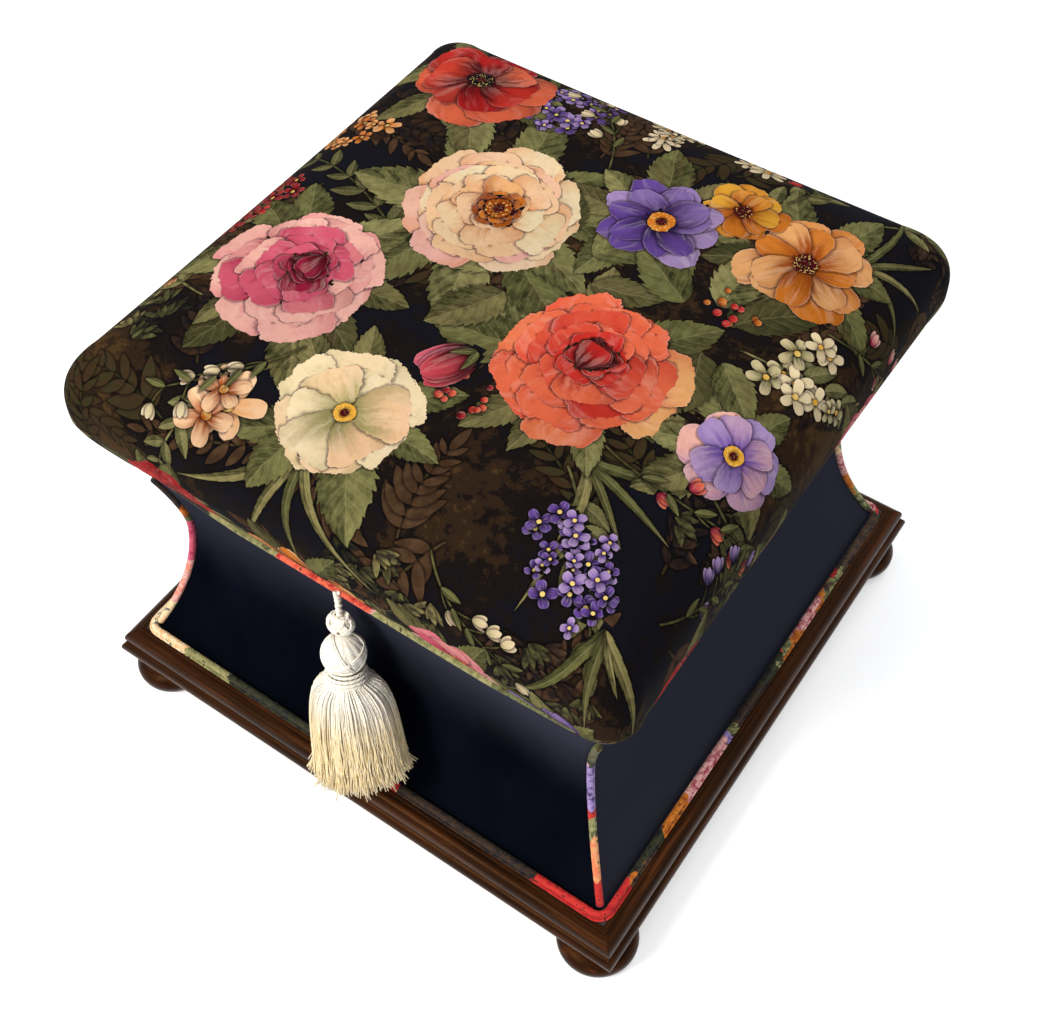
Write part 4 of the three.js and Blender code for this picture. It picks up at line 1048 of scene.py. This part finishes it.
print("velvet sides")
body = {"waist": 142, "footFlare": 29.5, "headFlare": 9, "height": 149.5, "waistHeight": 105,
        "lowerPower": 1.8, "upperPower": 1.5, "footZ": 52.0, "standZ": 52.3}
cover = {"fold": 2.0, "sink": 1.7, "sinkWidth": 5.5, "short": 1.3, "shortOver": 0.6, "rimHalf": 124.5,
         "wave": 0.3, "slack": 0.28, "thick": 1.6}
seatZ = body["footZ"] + body["height"]


def faceHalf(z):
    waistZ = body["footZ"] + body["waistHeight"]
    low = z < waistZ
    share = np.abs(z - waistZ) / np.where(low, body["waistHeight"], body["height"] - body["waistHeight"])
    lower = body["footFlare"] * share ** body["lowerPower"]
    return body["waist"] + np.where(low, lower, body["headFlare"] * share ** body["upperPower"])


def makeVelvetSides():
    v = cover
    fold, foldZ = v["fold"], seatZ - v["fold"]
    outline = [(float(faceHalf(z)), float(z)) for z in np.linspace(body["standZ"] + 0.2, foldZ, 64)]
    head = float(faceHalf(foldZ)) - fold
    bends = np.linspace(0.2, math.pi / 2, 7)
    outline += [(head + fold * math.cos(a), foldZ + fold * math.sin(a)) for a in bends]
    outline += [(d, seatZ) for d in np.linspace(head - 2, v["rimHalf"], 6)]
    close = 0.03 * np.array([0, 0.2, 0.45, 0.7, 1.0])
    columns = np.concatenate([close - 1, np.linspace(-0.95, 0.95, 50), 1 - close[::-1]])
    for quarter, name in enumerate(sideNames):
        rows = []
        for d, z in outline:
            over = z > seatZ - 0.3 # turned over the rim
            end = d - (v["shortOver"] if over else v["short"])
            along = columns * end
            edge = np.clip(1 - (end - np.abs(along)) / v["sinkWidth"], 0, 1) # goes under the corner welt
            wave = np.minimum(v["wave"] * np.sin(along * 0.045 + quarter) * np.sin(z * 0.05) - v["slack"], 0)
            out = d if over else d - v["sink"] * edge ** 2.2 + wave * (1 - edge)
            rows.append(np.stack([*turned(along, out, quarter), np.full_like(along, z)], -1))
        grid = len(rows), len(columns)
        piece = addPiece("velvet_cover_" + name, rows, sheetFaces(*grid), "velvet", "base",
                         ["velvet_" + name], sheetUv(*grid), turnOut=False)
        thick = piece.modifiers.new("thickness", "SOLIDIFY")
        thick.thickness = v["thick"] * mm
        thick.offset = -1


makeVelvetSides()


print("piping")
piping = {"radius": 2.3, "baseHalf": 174.1, "baseCorner": 7, "baseZ": 54.6, "lidHalf": 150, "lidCorner": 17,
          "lidZ": 204.1, "hingeHalf": 130.3, "pulled": 2.0, "pulledHalf": 135, "pulledEase": 50,
          "spacing": 2.6, "sides": 16, "baseSteps": 560, "lidSteps": 440, "stitches": 150,
          "stitchDepth": 0.08}
baseFlange = ( # outward from the welt's middle, and height
    (-2.2, 52.35), (3.0, 52.3), (3.5, 52.5), (3.55, 52.85), (3.2, 53.15), (2.4, 53.25), (1.7, 53.05),
    (-2.2, 53.3))
lidFlange = ((-4.8, 206.42), (0.3, 206.15), (0.6, 206.4), (-4.8, 206.6), (-4.8, 206.42))
patches = ( # where each patch of the cloth begins, as a share of all, and its inks
    (0, "night", "bark"), (0.1, "oliveDeep", "olive"), (0.22, "night", "umber"), (0.32, "wine", "scarlet"),
    (0.41, "roseDeep", "blush"), (0.49, "oliveDeep", "oliveLight"), (0.58, "umber", "sage"),
    (0.66, "amberDeep", "amber"), (0.73, "night", "moss"), (0.8, "apricot", "cream"), (0.87, "plum", "lilac"),
    (0.92, "red", "coral"), (0.96, "oliveDeep", "khaki"))
blooms = ( # what the strips of print happen to show on the near sides: middle, reach and inks
    ((160, -174, 52), 34, "red", "scarlet"), ((78, -174, 54), 50, "night", "umber"),
    ((-64, -174, 54), 46, "night", "moss"), ((-124, -174, 54), 20, "sage", "khaki"),
    ((-168, -172, 58), 26, "apricot", "cream"), ((-152, -152, 100), 24, "coral", "blush"),
    ((-143, -143, 140), 20, "roseDeep", "rose"), ((-145, -145, 186), 22, "amberDeep", "amber"),
    ((-135, -150, 204), 32, "night", "umber"), ((-78, -150, 204), 28, "khaki", "sage"),
    ((-22, -150, 204), 32, "red", "coral"), ((52, -152, 204), 40, "sage", "khaki"),
    ((128, -150, 204), 40, "umber", "olive"), ((166, -166, 92), 20, "coral", "apricot"),
    ((145, -145, 140), 20, "plum", "lilac"))


def makePipingCloth():
    s = newShader("piping_cloth")
    at = s.place()
    there = s.moved(at, s.scaled(s.noise(at, 0.09, 2, 0.5, "Color"), (16, 16, 16)))
    cells = s.node("ShaderNodeTexVoronoi", {}, {"Vector": there, "Scale": 0.034, "Randomness": 1.0}, "Color")
    chance = cells.parts()[0]
    low, high = (s.node("ShaderNodeValToRGB", {"stops": [(row[0], inks[row[k]]) for row in patches],
                                               "between": "CONSTANT"}, {"Fac": chance}) for k in (1, 2))
    petal = s.noise(at, 0.22, 3, 0.6)
    streaks = (petal * 0.7 + s.noise(at, 0.6, 3, 0.6) * 0.3).smooth(0.36, 0.6)
    tone = s.mix(streaks, low, high)
    for middle, reach, deep, light in blooms:
        shift = tuple(-8 - each for each in middle) # the noise moves all by half of 16
        x, y, z = s.moved(there, shift).parts()
        inside = ((x * x + y * y + z * z) ** 0.5).smooth(reach + 0.4, reach - 0.4)
        tone = s.mix(inside, tone, s.mix(streaks, inks[deep], inks[light]))
    tone = s.mix(petal.smooth(0.62, 0.64) * 0.8, tone, inks["night"])
    weave = s.noise(at, 2.2, 2)
    crease = s.noise(s.scaled(at, (0.5, 0.5, 0.5)), 1, 2)
    return s.coat(Base_Color=tone, Roughness=0.72 + 0.14 * weave, Sheen_Weight=0.05,
                  Normal=s.bump(weave * 0.3 + crease, 0.4, 0.5), Specular_IOR_Level=0.2)


finishes["piping"] = makePipingCloth()


def atHeight(loop, z): # a flat loop at its height
    return np.concatenate([loop, np.full((len(loop), 1), z)], 1)


def evenRing(grow, edge, steps): # a loop beside the welt of the base or lid, in the same number of steps
    loop = roundLoop(piping[edge + "Half"] + grow, piping[edge + "Corner"] + grow, piping["spacing"])
    share = np.arange(len(loop) + 1) / len(loop)
    at = np.arange(steps) / steps
    return np.stack([np.interp(at, share, np.append(loop[:, i], loop[0, i])) for i in (0, 1)], -1)


def addWelt(name, route, radii, body, replaced, lean=(0, 0, 1)):
    points, faces, uv = tubes(route[None], radii, piping["sides"], lean)
    addPiece(name, points, faces, "piping", body, [replaced], uv)


def addFlange(name, rows, body):
    grid = len(rows), len(rows[0]), True
    addPiece(name, rows, sheetFaces(*grid), "piping", body, (), sheetUv(*grid))


def makeBaseWelt(): # its stitched flange lies on the plinth, with the stitches in a groove beside the cord
    loop = roundLoop(piping["baseHalf"], piping["baseCorner"], piping["spacing"])
    route = atHeight(np.concatenate([loop, loop[:1]]), piping["baseZ"])
    radii = piping["radius"] - 0.05 + 0.06 * np.sin(np.arange(len(route)) * 1.7)
    addWelt("base_welt", route, radii, "base", "base_piping")
    steps = piping["baseSteps"]
    wave = piping["stitchDepth"] * np.sin(np.arange(steps) / steps * fullTurn * piping["stitches"])
    rows = []
    for grow, z in baseFlange:
        row = atHeight(evenRing(grow, "base", steps), z)
        row[:, 2] += wave * (z > 53)
        rows.append(row)
    addFlange("base_welt_flange", rows, "base")


def makeCornerWelts():
    z = np.linspace(57.4, seatZ - 1.2, 66)
    half = faceHalf(z) - 0.1
    for name, (x, y) in cornerSigns.items():
        route = np.stack([x * half, y * half, z], -1)
        radii = piping["radius"] - 0.05 + 0.05 * np.sin(z * 0.9)
        addWelt("corner_welt_" + name, route, radii, "base", "corner_piping_" + name, (x, -y, 0))


def pulled(loop): # out a little where the tassel is sewn on
    eased = np.clip((piping["pulledHalf"] - np.abs(loop[:, 0])) / piping["pulledEase"], 0, 1)
    eased = eased * (loop[:, 1] < 0)
    return loop - np.stack([0 * eased, piping["pulled"] * eased], -1)


def makeLidWelt(): # from hinge end to hinge end, with a flange caught between the cover's hem and the board
    half, hingeHalf = piping["lidHalf"], piping["hingeHalf"]
    loop = roundLoop(half, piping["lidCorner"], piping["spacing"])
    start = int(np.argmin(np.hypot(loop[:, 0] + hingeHalf, loop[:, 1] - half)))
    loop = np.roll(loop, -start, axis=0)
    loop = loop[(loop[:, 1] <= half - 1) | (np.abs(loop[:, 0]) >= hingeHalf)]
    addWelt("lid_welt", atHeight(pulled(loop), piping["lidZ"]), piping["radius"], "lid", "lid_piping")
    rows = []
    for grow, z in lidFlange:
        ring = evenRing(grow, "lid", piping["lidSteps"])
        rows.append(atHeight(pulled(ring) if grow > 0 else ring, z))
    addFlange("lid_welt_flange", rows, "lid")


makeBaseWelt()
makeCornerWelts()
makeLidWelt()


print("plinth and feet")
plinth = {"half": 190.5, "rail": 14, "underZ": 22.0, "topZ": 52.0, "quirkDrop": 1.6, "quirkWidth": 1.2,
          "ease": 0.4, "ovoloWidth": 6.8, "ovoloHeight": 7.9, "ovoloSetback": 3, "coveDepth": 2.1,
          "coveHeight": 3.4, "torusDepth": 5.4, "torusHeight": 11.4, "fasciaSetback": 8, "fasciaStep": 2.2,
          "mitreGap": 0.12}
foot = {"radius": 24.7, "height": 21.7, "bulge": 10, "widestZ": 10.9, "neckDrop": 2.9, "neckInset": 7,
        "centre": 169, "tenon": 5, "tenonLength": 14}


def arc(d, z, reachD, reachZ, start, end, steps):
    a = np.radians(np.linspace(start, end, steps))
    return [(d + reachD * math.cos(t), z + reachZ * math.sin(t)) for t in a]


def addShell(name, rows, finish, body, replaced, angle=None, slot=None):
    # Rings of points with a face at each end, and edges that are sharp over an angle in degrees
    faces = shellFaces(len(rows), len(rows[0]))
    piece = addPiece(name, rows, faces, finish, body, replaced, slot=slot)
    if angle:
        piece.data.set_sharp_from_angle(angle=math.radians(angle))


def makePlinth():
    p = plinth
    outer = p["half"] - p["ovoloSetback"]
    inner = outer - p["ovoloWidth"]
    inside = p["half"] - p["rail"]
    fascia = p["half"] - p["fasciaSetback"]
    quirk = inner - p["quirkWidth"]
    ease = p["ease"]
    top = p["topZ"] - p["quirkDrop"]
    coveTop = top - p["ovoloHeight"]
    torusTop = coveTop - p["coveHeight"]
    torusOut = p["half"] - p["torusDepth"]
    torusUnder = torusTop - p["torusHeight"]
    torusZ = (torusTop + torusUnder) / 2
    section = [(inside, p["underZ"]), (inside, p["topZ"]), (quirk - ease, p["topZ"]),
               *arc(quirk - ease, p["topZ"] - ease, ease, ease, 90, 0, 4), (quirk, top),
               *arc(inner, coveTop, p["ovoloWidth"], p["ovoloHeight"], 90, 0, 16),
               *arc(outer, (coveTop + torusTop) / 2, p["coveDepth"], p["coveHeight"] / 2, 90, 270, 12)[1:-1],
               *arc(torusOut, torusZ, p["torusDepth"], p["torusHeight"] / 2, 90, -90, 22),
               (fascia, torusUnder - p["fasciaStep"]), (fascia, p["underZ"])]
    for quarter, name in enumerate(sideNames):
        rows = [[(*turned(share * (d - p["mitreGap"]), d, quarter), z) for d, z in section]
                for share in np.linspace(-1, 1, 41)]
        addShell("plinth_moulding_" + name, rows, "mahogany", "base", ["plinth_rail_" + name], 35)


def makeFeet():
    f = foot
    sole = f["radius"] - f["bulge"]
    neck = f["radius"] - f["neckInset"]
    neckZ = f["height"] - f["neckDrop"]
    profile = [(sole - 1, 0), *arc(sole, f["widestZ"], f["bulge"], f["widestZ"], -90, 0, 20),
               *arc(sole, f["widestZ"], f["bulge"], neckZ - f["widestZ"], 0, 56, 14)[1:],
               (neck + 0.2, neckZ), (neck, neckZ + 0.4), (neck, f["height"]), (f["tenon"], f["height"]),
               (f["tenon"], f["height"] + f["tenonLength"])]
    turns = np.arange(72) / 72 * fullTurn
    for name, (x, y) in cornerSigns.items():
        rows = [atHeight(r * np.stack([np.cos(turns), np.sin(turns)], -1) + np.array((x, y)) * f["centre"], z)
                for r, z in profile]
        addShell("turned_foot_" + name, rows, "mahogany", "base", ["bun_foot_" + name], 40)


makePlinth()
makeFeet()


print("linings")
box = {"outer": 124.25, "inner": 122.1, "floorZ": 54.4, "underZ": 52.5, "rimZ": 199.9}
lidCloth = ((0.5, 0.1, 206.3), (60, 5, 206.3), (120, 9, 206.3), (144.2, 11.6, 206.3), (144.9, 12, 205.9),
            (144.9, 12, 205.2), (144, 11.6, 204.85), (141, 11, 204.95), (120, 9, 204.95), (60, 5, 204.9),
            (0.5, 0.1, 204.9)) # half, corner and z from the middle of the top to the middle underneath


def boxCloth(): # up the box's walls outside, over the rim, down inside and across the floor
    b = box
    up = np.linspace(60, b["rimZ"] - 1, 20)
    rows = [(1, 0.2, b["underZ"]), (b["outer"] - 3, 1.5, b["underZ"]), (b["outer"], 1.6, b["underZ"] + 3)]
    rows += [(b["outer"], 1.6, z) for z in up]
    rows += [(b["outer"] - 0.4, 1.4, b["rimZ"]), (b["inner"] + 0.4, 1.2, b["rimZ"])]
    rows += [(b["inner"], 1.0, z) for z in up[::-1]]
    rows += [(b["inner"] - 1.2, 1.0, 56), (b["inner"] - 4, 1.0, b["floorZ"] + 0.2)]
    return rows + [(h, max(0.1, h * 0.01), b["floorZ"]) for h in np.linspace(b["inner"] - 8, 1, 12)]


def addLining(name, rows, body, replaced):
    piece = addPiece(name, *squareShell(rows, 40), "lining", body, [replaced])
    piece.data.set_sharp_from_angle(angle=1.0)


addLining("box_cloth", boxCloth(), "base", "box_lining")
addLining("lid_cloth", lidCloth, "lid", "lid_lining")


print("tassel")
tassel = {"pivot": (-12.5, -154.75, 199.4), "lean": 16, "tilt": 11.5, "cord": 2.15, "cordLength": 9,
          "loopTopZ": 206.6, "loopLength": 9.4, "knotHeight": 14.5, "knotReach": 8.3, "knotRise": 6.3,
          "knotFlat": 0.72, "headHalf": 12.7, "headHeight": 25.5, "squat": 0.97, "neckHalf": 11.5,
          "neckHeight": 10, "neckTurns": 5, "skirtLength": 85.97, "skirtHalf": 29, "skirtFlat": 0.64,
          "frontFlat": 0.76, "twist": 0.28, "threads": 1040, "gap": 0.3}
threadRadii = {"knot": 0.53, "collar": 0.55, "hoops": 0.54, "neck": 0.66, "skirt": 0.34}
skirtWidths = np.array([ # share of the way down, share of the skirt's half width
    [0, 0.36], [0.055, 0.385], [0.085, 0.52], [0.12, 0.63], [0.18, 0.73], [0.28, 0.81], [0.42, 0.875],
    [0.6, 0.93], [0.78, 0.975], [0.92, 1.0], [1.0, 1.02]]).T
hang = Matrix.Translation(tassel["pivot"])
for key, axis in (("lean", "X"), ("tilt", "Y")):
    hang = hang @ Matrix.Rotation(math.radians(-tassel[key]), 4, axis)
hangArray = np.array(hang)

# Heights in the tassel's own frame, where its cord runs along -Z
knotZ = -tassel["cordLength"] - tassel["knotHeight"] / 2
headTop = -tassel["cordLength"] - tassel["knotHeight"] - tassel["gap"]
headZ = headTop - tassel["headHeight"] / 2
skirtTop = headTop - tassel["headHeight"] - tassel["gap"]
sideways, askew = (1, 0.2, 0), (0.02, 0.01, 1) # directions that cords down and cords round don't follow


def hung(points): # from the tassel's own frame to the stool's
    return np.asarray(points, float) @ hangArray[:3, :3].T + hangArray[:3, 3]


def addThreads(name, paths, radius, sides, lean, body, replaced=()):
    points, faces, uv = tubes(paths, radius, sides, lean)
    addPiece(name, hung(points), faces, "silk", body, replaced, uv, turnOut=False)


def plied(length, top, pitch=7.0): # the two strands of a twisted cord, straight down from top
    z = np.linspace(0, length, int(length * 3) + 2)
    radius = tassel["cord"] * 0.46
    turns = [z / pitch * fullTurn + start for start in (0, math.pi)]
    return np.array([np.stack([radius * np.cos(a), radius * np.sin(a), top - z], -1) for a in turns])


def addBall(name, z, half, depth, height, body, replaced=(), ribs=0, finish="silk"):
    columns = ribs * 4 or 48
    turns = np.arange(columns) / columns * fullTurn
    rows = []
    for a in np.linspace(-math.pi / 2 + 0.03, math.pi / 2 - 0.03, 40):
        r = half * math.cos(a) * np.ones(columns)
        if ribs:
            r *= 1 + 0.012 * np.cos(ribs * turns + 3 * a) + 0.02 * np.cos(15 * turns + 2 * a)
        ring = np.stack([r * np.cos(turns), r * depth * np.sin(turns)], -1)
        rows.append(hung(atHeight(ring, z + height * math.sin(a))))
    addShell(name, rows, finish, body, replaced, slot="silk")


def makeCord():
    strand = tassel["cord"] * 0.52
    loop = plied(tassel["loopLength"], tassel["loopTopZ"]) + (*tassel["pivot"][:2], 0)
    points, faces, uv = tubes(loop, strand, 10, sideways)
    addPiece("tassel_loop_cord", points, faces, "silk", "lid", ["tassel_loop"], uv, turnOut=False)
    twist = plied(tassel["cordLength"] + 4, 0.4)
    addThreads("tassel_twist", twist, strand, 10, sideways, "tassel_cord", ["tassel_cord"])


def makeKnot():
    flat, reachOut = tassel["knotFlat"], tassel["knotReach"]
    phi = np.linspace(0, fullTurn, 320)
    paths = []
    for shift in (-0.46, -0.23, 0, 0.23, 0.46): # five strands side by side, over and under in turn
        rise = 1.15 * np.sin(4 * phi + shift)
        r = reachOut * np.cos(rise) * (1 + 0.06 * np.sin(8 * phi + 2 * shift))
        z = knotZ + tassel["knotRise"] * np.sin(rise)
        paths.append(np.stack([r * np.cos(3 * phi), r * flat * np.sin(3 * phi), z], -1))
    addThreads("tassel_knot", paths, threadRadii["knot"], 7, askew, "tassel_cord")
    phi = 4 * phi
    paths = []
    for k in (0, math.pi): # a collar of two strands, four times round
        r = 5.2 + 0.5 * np.cos(9 * phi + k)
        z = knotZ + 5.9 - phi / phi[-1] * 3.4 + 0.45 * np.sin(9 * phi + k)
        paths.append(np.stack([r * np.cos(phi), r * flat * np.sin(phi), z], -1))
    addThreads("tassel_collar", paths, threadRadii["collar"], 7, askew, "tassel_cord")
    # the ball under the knot's strands has the silk darkened as painted shade
    addBall("tassel_knot_core", knotZ, 7.4, flat, 5.7, "tassel_cord", finish="shadedCore")


def makeHead(): # satin threads drawn over from pole to pole, hooped with fine cords
    half, squat = tassel["headHalf"], tassel["squat"]
    addBall("tassel_bulb", headZ, half - 0.5, 1, (half - 0.5) * squat, "tassel", ["tassel_head"], 96)
    a = np.linspace(0, fullTurn, 100)
    hoops = []
    for tilt, spin, shift in ((0.98, 0.6, 2.2), (0.98, 0.6, 3.3), (1.08, 2.3, 0), (1.08, 2.3, 1.1),
                              (0.4, -0.6, 0), (0.4, -0.6, 1.1)):
        across = Vector((math.cos(spin), math.sin(spin), 0))
        normal = Matrix.Rotation(tilt, 3, across) @ Vector((0, 0, 1))
        reach = math.sqrt((half - 0.05) ** 2 - shift ** 2)
        ring = (np.outer(np.cos(a), across) + np.outer(np.sin(a), normal.cross(across))) * reach
        hoops.append((ring + np.array(normal) * shift) * (1, 1, squat) + (0, 0, headZ))
    addThreads("tassel_hoops", hoops, threadRadii["hoops"], 7, (0.31, 0.47, 0.83), "tassel")


def makeNeck(): # two plies bound round it, and the first turn hugs the head
    a = np.linspace(0, tassel["neckTurns"] * fullTurn, tassel["neckTurns"] * 44)
    share = a / a[-1]
    paths = []
    for k in (0, math.pi):
        r = tassel["neckHalf"] + 0.9 - 3.2 * (1 - share) ** 2.2 + 0.45 * np.cos(a * 11 + k)
        z = skirtTop + 4.7 - share * (tassel["neckHeight"] + 1.1) + 0.4 * np.sin(a * 11 + k)
        paths.append(np.stack([r * np.cos(a), r * np.sin(a), z], -1))
    addThreads("tassel_neck_cord", paths, threadRadii["neck"], 7, askew, "tassel", ["tassel_neck"])


def twisted(points): # the flattened skirt hangs a little round to the right
    c, s = math.cos(tassel["twist"]), math.sin(tassel["twist"])
    points[..., :2] = points[..., :2] @ np.array([[c, s], [-s, c]])
    return points


def skirtFull(half): # 0 at the neck and 1 at the skirt's widest
    return np.clip((half - tassel["neckHalf"]) / (tassel["skirtHalf"] - tassel["neckHalf"]), 0, 1)


def makeSkirt(): # single threads in layers, a few of them astray
    t = tassel
    layers = (1.0, 0.985, 0.96, 0.935, 0.9, 0.85, 0.78, 0.68)
    rng = np.random.default_rng(7)
    u = np.linspace(0, 1, 17)
    paths = np.zeros((t["threads"], len(u), 3))
    for i in range(t["threads"]):
        layer = layers[i % 8] * rng.uniform(0.985, 1.01)
        angle = rng.uniform(0, fullTurn)
        length = t["skirtLength"] * rng.uniform(0.82, 0.875) * (1 - 0.1 * max(0, math.cos(angle)) ** 2)
        length *= 1 if rng.random() < 0.88 else rng.uniform(0.86, 0.97)
        wide = np.interp(u, *skirtWidths) * t["skirtHalf"] * layer
        flat = t["skirtFlat"] if math.sin(angle) > 0 else t["frontFlat"]
        flat = 1 - (1 - flat) * skirtFull(wide)
        drift = rng.normal(0, 0.07) * u ** 1.6 + 0.03 * np.sin(u * rng.uniform(5, 9) + rng.uniform(0, 6)) * u
        stray = rng.random() < 0.16 and math.sin(angle) < 0.45
        splay = rng.uniform(-0.01, 0.05) + stray * rng.uniform(0.04, 0.19)
        splay = 1 + splay * np.clip((u - 0.76) / 0.24, 0, 1) ** 2
        wave = rng.uniform(0.2, 0.6) * np.sin(u * rng.uniform(12, 26) + rng.uniform(0, 6))
        wave = wave * np.clip(u * 1.6 - 0.25, 0, 1)
        lift = stray * rng.uniform(0, 3.5) * np.clip((u - 0.8) / 0.2, 0, 1) ** 2
        across = np.cos(angle + drift)
        fuller = np.where(across < 0, 1 - 0.16 * u, 1 + 0.1 * np.minimum(1, 4 * u)) # on the right
        paths[i, :, 0] = wide * splay * across * fuller + wave * np.sin(angle)
        paths[i, :, 1] = wide * splay * flat * np.sin(angle + drift) - wave * np.cos(angle)
        paths[i, :, 2] = skirtTop - length * u + lift
    paths = twisted(paths)
    addThreads("tassel_threads", paths, threadRadii["skirt"], 4, (1, 0.3, 0), "tassel", ["tassel_skirt"])


def makeSkirtCore(): # what the outer threads hang over
    t = tassel
    turns = np.arange(48) / 48 * fullTurn
    ripple = 1 + 0.03 * np.cos(24 * turns)
    rows = []
    for share in np.linspace(0, 0.97, 30):
        half = float(np.interp(share, *skirtWidths)) * t["skirtHalf"] * (0.9 - 0.06 * share)
        flat = 1 - (1 - t["skirtFlat"]) * skirtFull(half)
        ring = half * np.stack([ripple * np.cos(turns), flat * ripple * np.sin(turns)], -1)
        rows.append(hung(twisted(atHeight(ring, skirtTop - 0.4 - t["skirtLength"] * 0.86 * share))))
    # its finish is the silk darkened as painted shade, for the threads inside that lie in shade
    addShell("tassel_core", rows, "shadedCore", "tassel", (), slot="silk")


makeCord()
makeKnot()
makeHead()
makeNeck()
makeSkirt()
makeSkirtCore()


print("boards, frame and hinge")
for name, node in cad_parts.items():
    if name.startswith(("base_board", "box_side", "side_panel", "lid_board")):
        finish = "plywood"
    elif name.startswith(("corner_block", "corner_former", "rim_frame")):
        finish = "softwood"
    elif "hinge" in name:
        finish = "brass"
    else:
        continue
    for holder in node.material_slots:
        holder.material = finishes[finish]
    if finish == "brass":
        node.data.polygons.foreach_set("use_smooth", [True] * len(node.data.polygons))
        node.data.set_sharp_from_angle(angle=math.radians(38))
